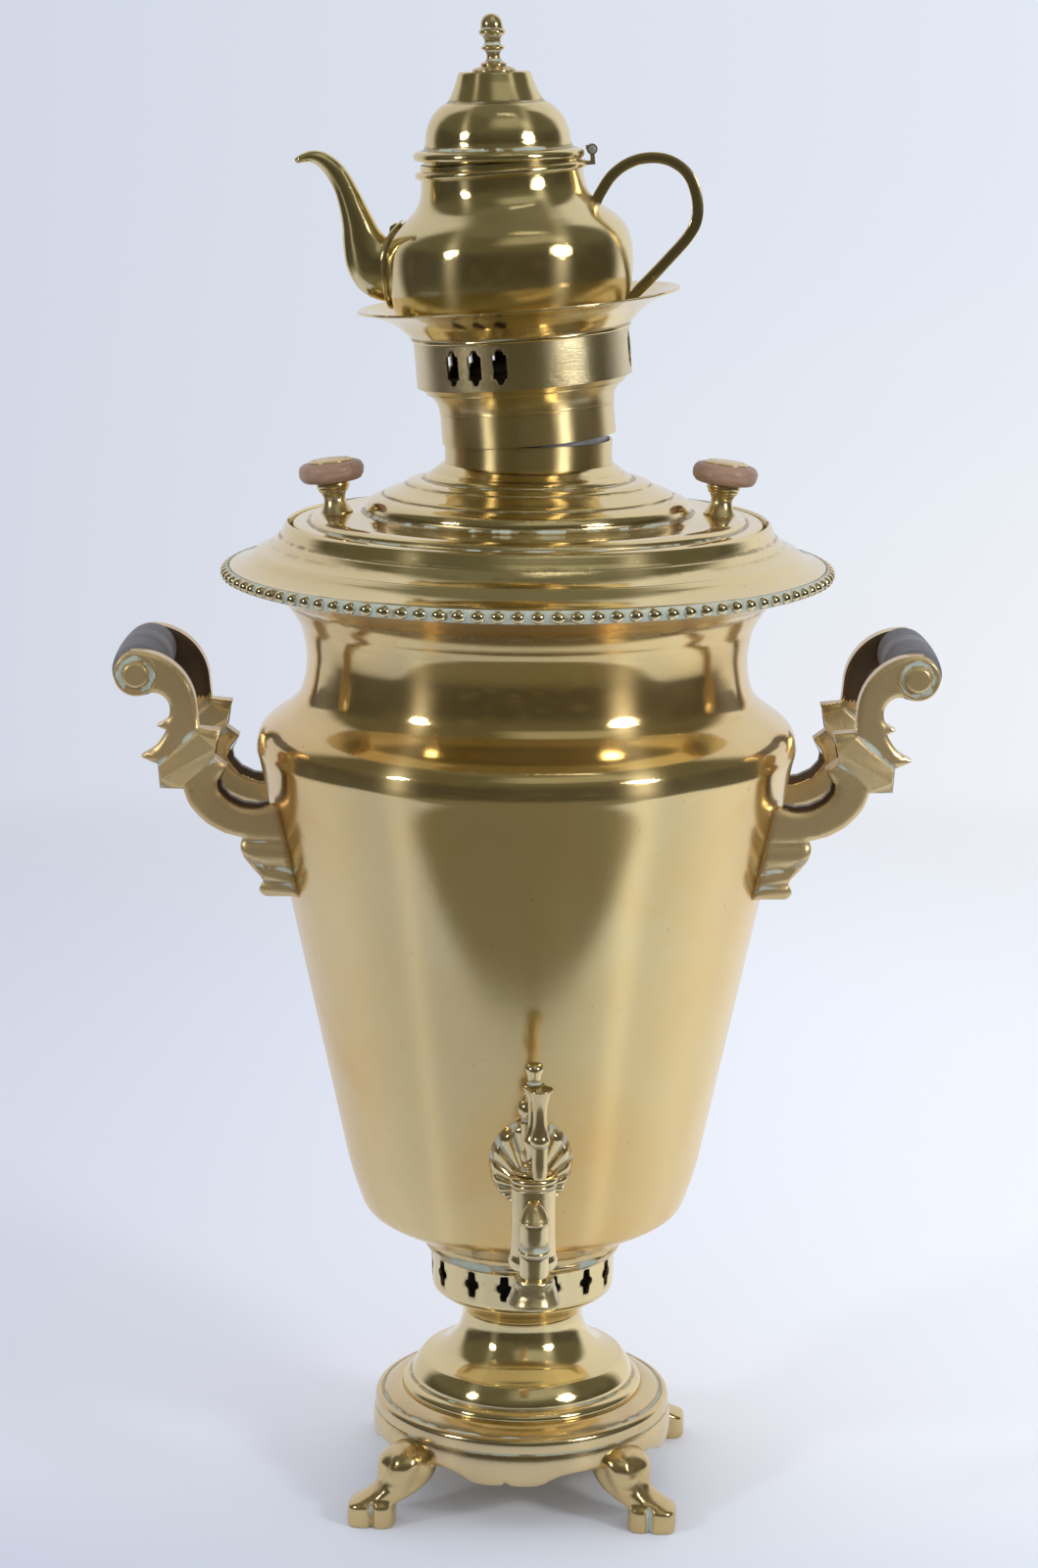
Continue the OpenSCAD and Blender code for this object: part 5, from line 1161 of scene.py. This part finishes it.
# Rim round the spout's root: a half-round bead laid on the pot's wall, with a leaf above
bm = bmesh.new()
layer = dirt_layer(bm)
rings = []
for a in turns(64):
    y, z = 9.9 * math.sin(a), 35.0 + 17.4 * math.cos(a)
    r = wall_radius(z, pot_line)
    x = -math.sqrt(r * r - y * y)
    away = Vector((0, math.sin(a), math.cos(a)))
    out = Vector((x / r, y / r, 0))
    ring = []
    for j in range(10):
        t = math.pi * j / 9
        ring.append(Vector((x, y, z)) + away * 1.5 * math.cos(t) + out * (2.4 * math.sin(t) - 0.3))
    rings.append(ring)
rows = [[bm.verts.new(p) for p in ring] for ring in rings]
for k in range(64):
    low, high = rows[k], rows[(k + 1) % 64]
    for j in range(9):
        bm.faces.new((low[j], low[j + 1], high[j + 1], high[j]))
for row in rows:
    row[0][layer] = row[9][layer] = 0.7
leaf = [(-49.6, 51.4), (-47.4, 52.6), (-44.6, 52.4), (-42.2, 51.2), (-44.4, 49.9), (-46.6, 48.6),
        (-50.4, 48.0)]
slab(bm, leaf, 5.0, 0.8, 2)
finish("teapot_spout_rim", bm, "brass_pot", "teapot", ["teapot_spout_flange"], POT)

# Handle: a flat strap with milled edges
strap_line = [(33.5, 50.2), (37.4, 52.0), (40.9, 58.0), (46.8, 65.5), (54.5, 70.3), (63.6, 71.8),
              (72.5, 69.6), (79.4, 63.2), (82.3, 53.3), (81.6, 44.3), (77.4, 37.2), (68.6, 28.6),
              (58.6, 19.6), (50.0, 12.4)]
line = curve(strap_line, 0.7)
bm = bmesh.new()
rings, grime = [], []
for i, (x, z) in enumerate(line):
    dx, dz = heading(line, i)
    nx, nz = -dz, dx
    mill = 0.07 * (i % 2)
    taper = 1.0 if i > 6 else 0.8 + 0.033 * i
    section = [(2.3, 3.4 - mill), (2.0, 3.6 - mill), (-2.0, 3.6 - mill), (-2.3, 3.4 - mill),
               (-2.3, -3.4 + mill), (-2.0, -3.6 + mill), (2.0, -3.6 + mill), (2.3, -3.4 + mill)]
    rings.append([(x + u * taper * nx, w * taper, z + u * taper * nz) for u, w in section])
    grime += [0.1 if mill else 0.0] * 8
skin(bm, rings, grime=grime)
crease(bm, 30)
finish("teapot_strap", bm, "brass_strap", "teapot", ["teapot_handle"], POT)

# Hinge: rolled leaves of the pot and of the lid on one pin
repaint("teapot_hinge_leaf", "brass_rough")
repaint("teapot_lid_leaf", "brass_rough")
pin = profile(
    [(0, -7.6), (1.4, -7.4), (1.7, -6.9), (1.1, -6.6)], [(1.1, 6.6)], [(1.7, 6.9), (1.4, 7.4), (0, 7.6)],
    gap=0.4)
solid("hinge_wire", pin, "tube_grey", "teapot", ["teapot_hinge_pin"],
      POT @ shift(HINGE[0], 0, HINGE[1]) @ turn_x(90), segs=24)

cap_line = profile(
    [(35.4, 0), (36.3, 0.5), (36.7, 1.7), (36.4, 3.0), (35.4, 3.9), (33.8, 4.3)], [(32.4, 4.5),
    (31.8, 5.2)], [(31.2, 7.4), (30.9, 10.0), (30.3, 13.0), (28.9, 16.6), (26.8, 19.8), (24.4, 22.2),
    (22.4, 23.6)], [(21.2, 24.0), (20.4, 24.8)], [(19.6, 26.2), (18.2, 29.0), (16.9, 32.0), (15.9, 35.0),
    (15.5, 36.2), (14.9, 36.8)], [(8.0, 36.8)], [(0, 36.8)], gap=0.6)
back = [(max(r, 0), z, s) for r, z, s in inset(cap_line[:-1], 1.1)]
bm = bmesh.new()
grime = cavity(cap_line) + [0.15] * (len(back) + 1)
spin_rings(bm, list(cap_line) + [(0, 35.7, False)] + back[::-1], False, 144, grime=grime)
flange = profile([(32.5, 3.6), (32.5, -4)], [(31.6, -4)], [(31.6, 3.6)], [(32.5, 3.6)])
spin_rings(bm, flange[:-1], True, 144)
finish("teapot_cap", bm, "brass_pot", "teapot_lid", ["teapot_lid"], CAP)
petals = profile(
    [(0, 36.8), (9.4, 36.8)], [(9.3, 37.5), (8.2, 38.2), (6.4, 38.8)], [(5.8, 38.6), (5.2, 39.0)],
    [(3.0, 39.2), (0, 39.2)], gap=0.35)


def petal(p, a, k):
    r = math.hypot(p.x, p.y)
    if r > 5.4 and p.z > 37:
        p.z -= 0.5 * (1 - abs(math.cos(a * 6))) * min(1, (r - 5.4) / 2)
    return p


solid("teapot_flower", petals, "brass_fitting", "teapot_lid", ["teapot_rosette"], CAP, segs=96,
      shape=petal, extra=0.2)
finial = profile(
    [(0, 39.1), (5.3, 39.1)], [(5.7, 39.6), (5.4, 40.3), (4.2, 40.8)], [(3.3, 41.4), (2.9, 42.6),
    (3.0, 44.2), (3.6, 45.6)], [(4.8, 46.0), (5.0, 46.8), (4.3, 47.5)], [(3.5, 48.2), (3.5, 49.6),
    (4.1, 51.6)], [(5.3, 52.2), (5.8, 53.2), (5.3, 54.2), (4.7, 54.7)], [(4.7, 56.6), (4.1, 58.6),
    (2.8, 60.2), (1.2, 60.9), (0, 61.0)], gap=0.45)
solid("teapot_finial_turned", finial, "brass_fitting", "teapot_lid", ["teapot_finial"], CAP,
      segs=48, extra=0.04)

# ---------------------------------------------------------------- floor, light and camera
bm = bmesh.new()
bmesh.ops.create_grid(bm, x_segments=2, y_segments=2, size=3.0)
mesh = bpy.data.meshes.new("floor")
bm.to_mesh(mesh)
bm.free()
floor = bpy.data.objects.new("floor", mesh)
bpy.context.scene.collection.objects.link(floor)
TABLE_EDGE = -0.393
s = material("floor_pale")
spot = s.put("SeparateXYZ", {0: s.place()})
far = s.put("VectorMath", {0: s.place((1, 1, 0))}, operation="LENGTH").outputs["Value"]
rays = s.put("LightPath")
fade = s.span(far, 0.75, 1.6)
edge = s.span(spot.outputs[1], TABLE_EDGE + 0.01, TABLE_EDGE - 0.01)
gone = s.math("MAXIMUM", s.times(edge, rays.outputs["Is Glossy Ray"]), fade)
# Painted light and shade: the floor's colour runs from dark at the front left to pale at the back right,
# standing in for how the light falls on it.
near = s.mix(s.span(spot.outputs[0], -0.35, 0.35), (0.46, 0.50, 0.60), (0.60, 0.66, 0.74))
back = s.mix(s.span(spot.outputs[0], -0.45, 0.35), (0.62, 0.64, 0.72), (0.84, 0.86, 0.90))
paint = s.put("BsdfDiffuse", {0: s.mix(s.span(spot.outputs[1], -0.30, 0.12), near, back)})
clear = s.put("BsdfTransparent")
both = s.put("MixShader", {0: gone, 1: paint.outputs[0], 2: clear.outputs[0]})
s.put("OutputMaterial", {0: both.outputs[0]})
mesh.materials.append(MATERIALS["floor_pale"])

world = bpy.data.worlds.new("studio")
bpy.context.scene.world = world
s = Shader(world)
way = s.put("SeparateXYZ", {0: s.put("TexCoord").outputs["Generated"]})
x, y, z = way.outputs
side = s.math("ARCTAN2", x, s.times(y, -1.0))
turn = s.math("ABSOLUTE", side)
tent = s.mix(s.span(x, -0.9, 0.9, soft=False), (0.62, 0.63, 0.70), (0.86, 0.88, 0.95))
room = s.mix(s.span(z, -0.55, -0.25), (0.16, 0.155, 0.10), (0.055, 0.052, 0.038))
room = s.mix(s.span(z, 0.16, 0.45), room, (0.115, 0.115, 0.08))
high = s.times(s.span(side, -0.45, 0.05), s.span(side, 1.15, 0.85))
high = s.times(high, s.span(z, 0.52, 0.66))
room = s.mix(high, room, (0.42, 0.43, 0.38))
room = s.mix(s.span(z, 0.84, 0.93), room, (0.17, 0.175, 0.14))
clutter = s.put("TexNoise", {"Scale": 7.0, "Detail": 3.0, "Roughness": 0.6}).outputs[0]
room = s.mix(s.span(clutter, 0.52, 0.72, 0.0, 0.35), room, (0.26, 0.23, 0.15))
streak_x, streak_y = s.math("DIVIDE", x, z), s.math("DIVIDE", y, z)
tube = s.times(s.span(streak_x, -0.02, 0.02), s.span(streak_x, 0.40, 0.36))
tube = s.times(tube, s.span(s.math("ABSOLUTE", s.plus(streak_y, 0.25)), 0.025, 0.015))
room = s.mix(s.times(tube, s.span(z, 0.3, 0.35)), room, (2.6, 2.6, 2.5))
dark = s.math("MAXIMUM", s.span(turn, 2.25, 1.95), s.span(z, 0.80, 0.93))
around = s.mix(dark, tent, room)
rays = s.put("LightPath")
around = s.mix(rays.outputs["Is Diffuse Ray"], around, (0.98, 1.0, 1.05))
# Painted light and shade of the backdrop: camera rays see it darker on the left and paler on the right and
# lower down.
pale = s.mix(s.span(z, -0.02, -0.20), (0.78, 0.83, 0.91), (0.88, 0.90, 0.94))
sky = s.mix(s.span(x, -0.16, 0.16, soft=False), (0.64, 0.68, 0.78), pale)
tone = s.mix(rays.outputs["Is Camera Ray"], around, sky)
glow = s.put("Background", {0: tone, 1: 1.0})
s.put("OutputWorld", {0: glow.outputs[0]})


def lamp(name, azimuth, height, distance, size, power, aim=(0, 0, 0.33)):
    data = bpy.data.lights.new(name, "AREA")
    data.shape = "DISK"
    data.size = size
    data.energy = power
    obj = bpy.data.objects.new(name, data)
    a, e = math.radians(azimuth), math.radians(height)
    obj.location = Vector(aim) + distance * Vector((math.sin(a) * math.cos(e), -math.cos(a) * math.cos(e),
                                                   math.sin(e)))
    obj.rotation_euler = (Vector(aim) - obj.location).to_track_quat("-Z", "Y").to_euler()
    bpy.context.scene.collection.objects.link(obj)


lamp("lamp_left", -56, 22, 2.0, 0.24, 6)
lamp("lamp_right", 50, 22, 2.0, 0.38, 11)

# Fitted to ten circles of the photo: focal length and height of the frame in its pixels, place in metres
FOCAL_PX, FRAME_PX = 3685.6, 1600
EYE_AT, PITCH, ROLL = (-0.00315, -1.5638, 0.6570), -11.958, 0.385
camera = bpy.data.cameras.new("camera")
camera.sensor_fit = "VERTICAL"
camera.sensor_height = 36
camera.lens = FOCAL_PX / FRAME_PX * 36
camera.clip_start = 0.05
eye = bpy.data.objects.new("camera", camera)
eye.matrix_world = shift(*EYE_AT) @ turn_x(90 + PITCH) @ turn_z(ROLL)
bpy.context.scene.collection.objects.link(eye)
bpy.context.scene.camera = eye
bpy.context.scene.view_settings.view_transform = "Standard"
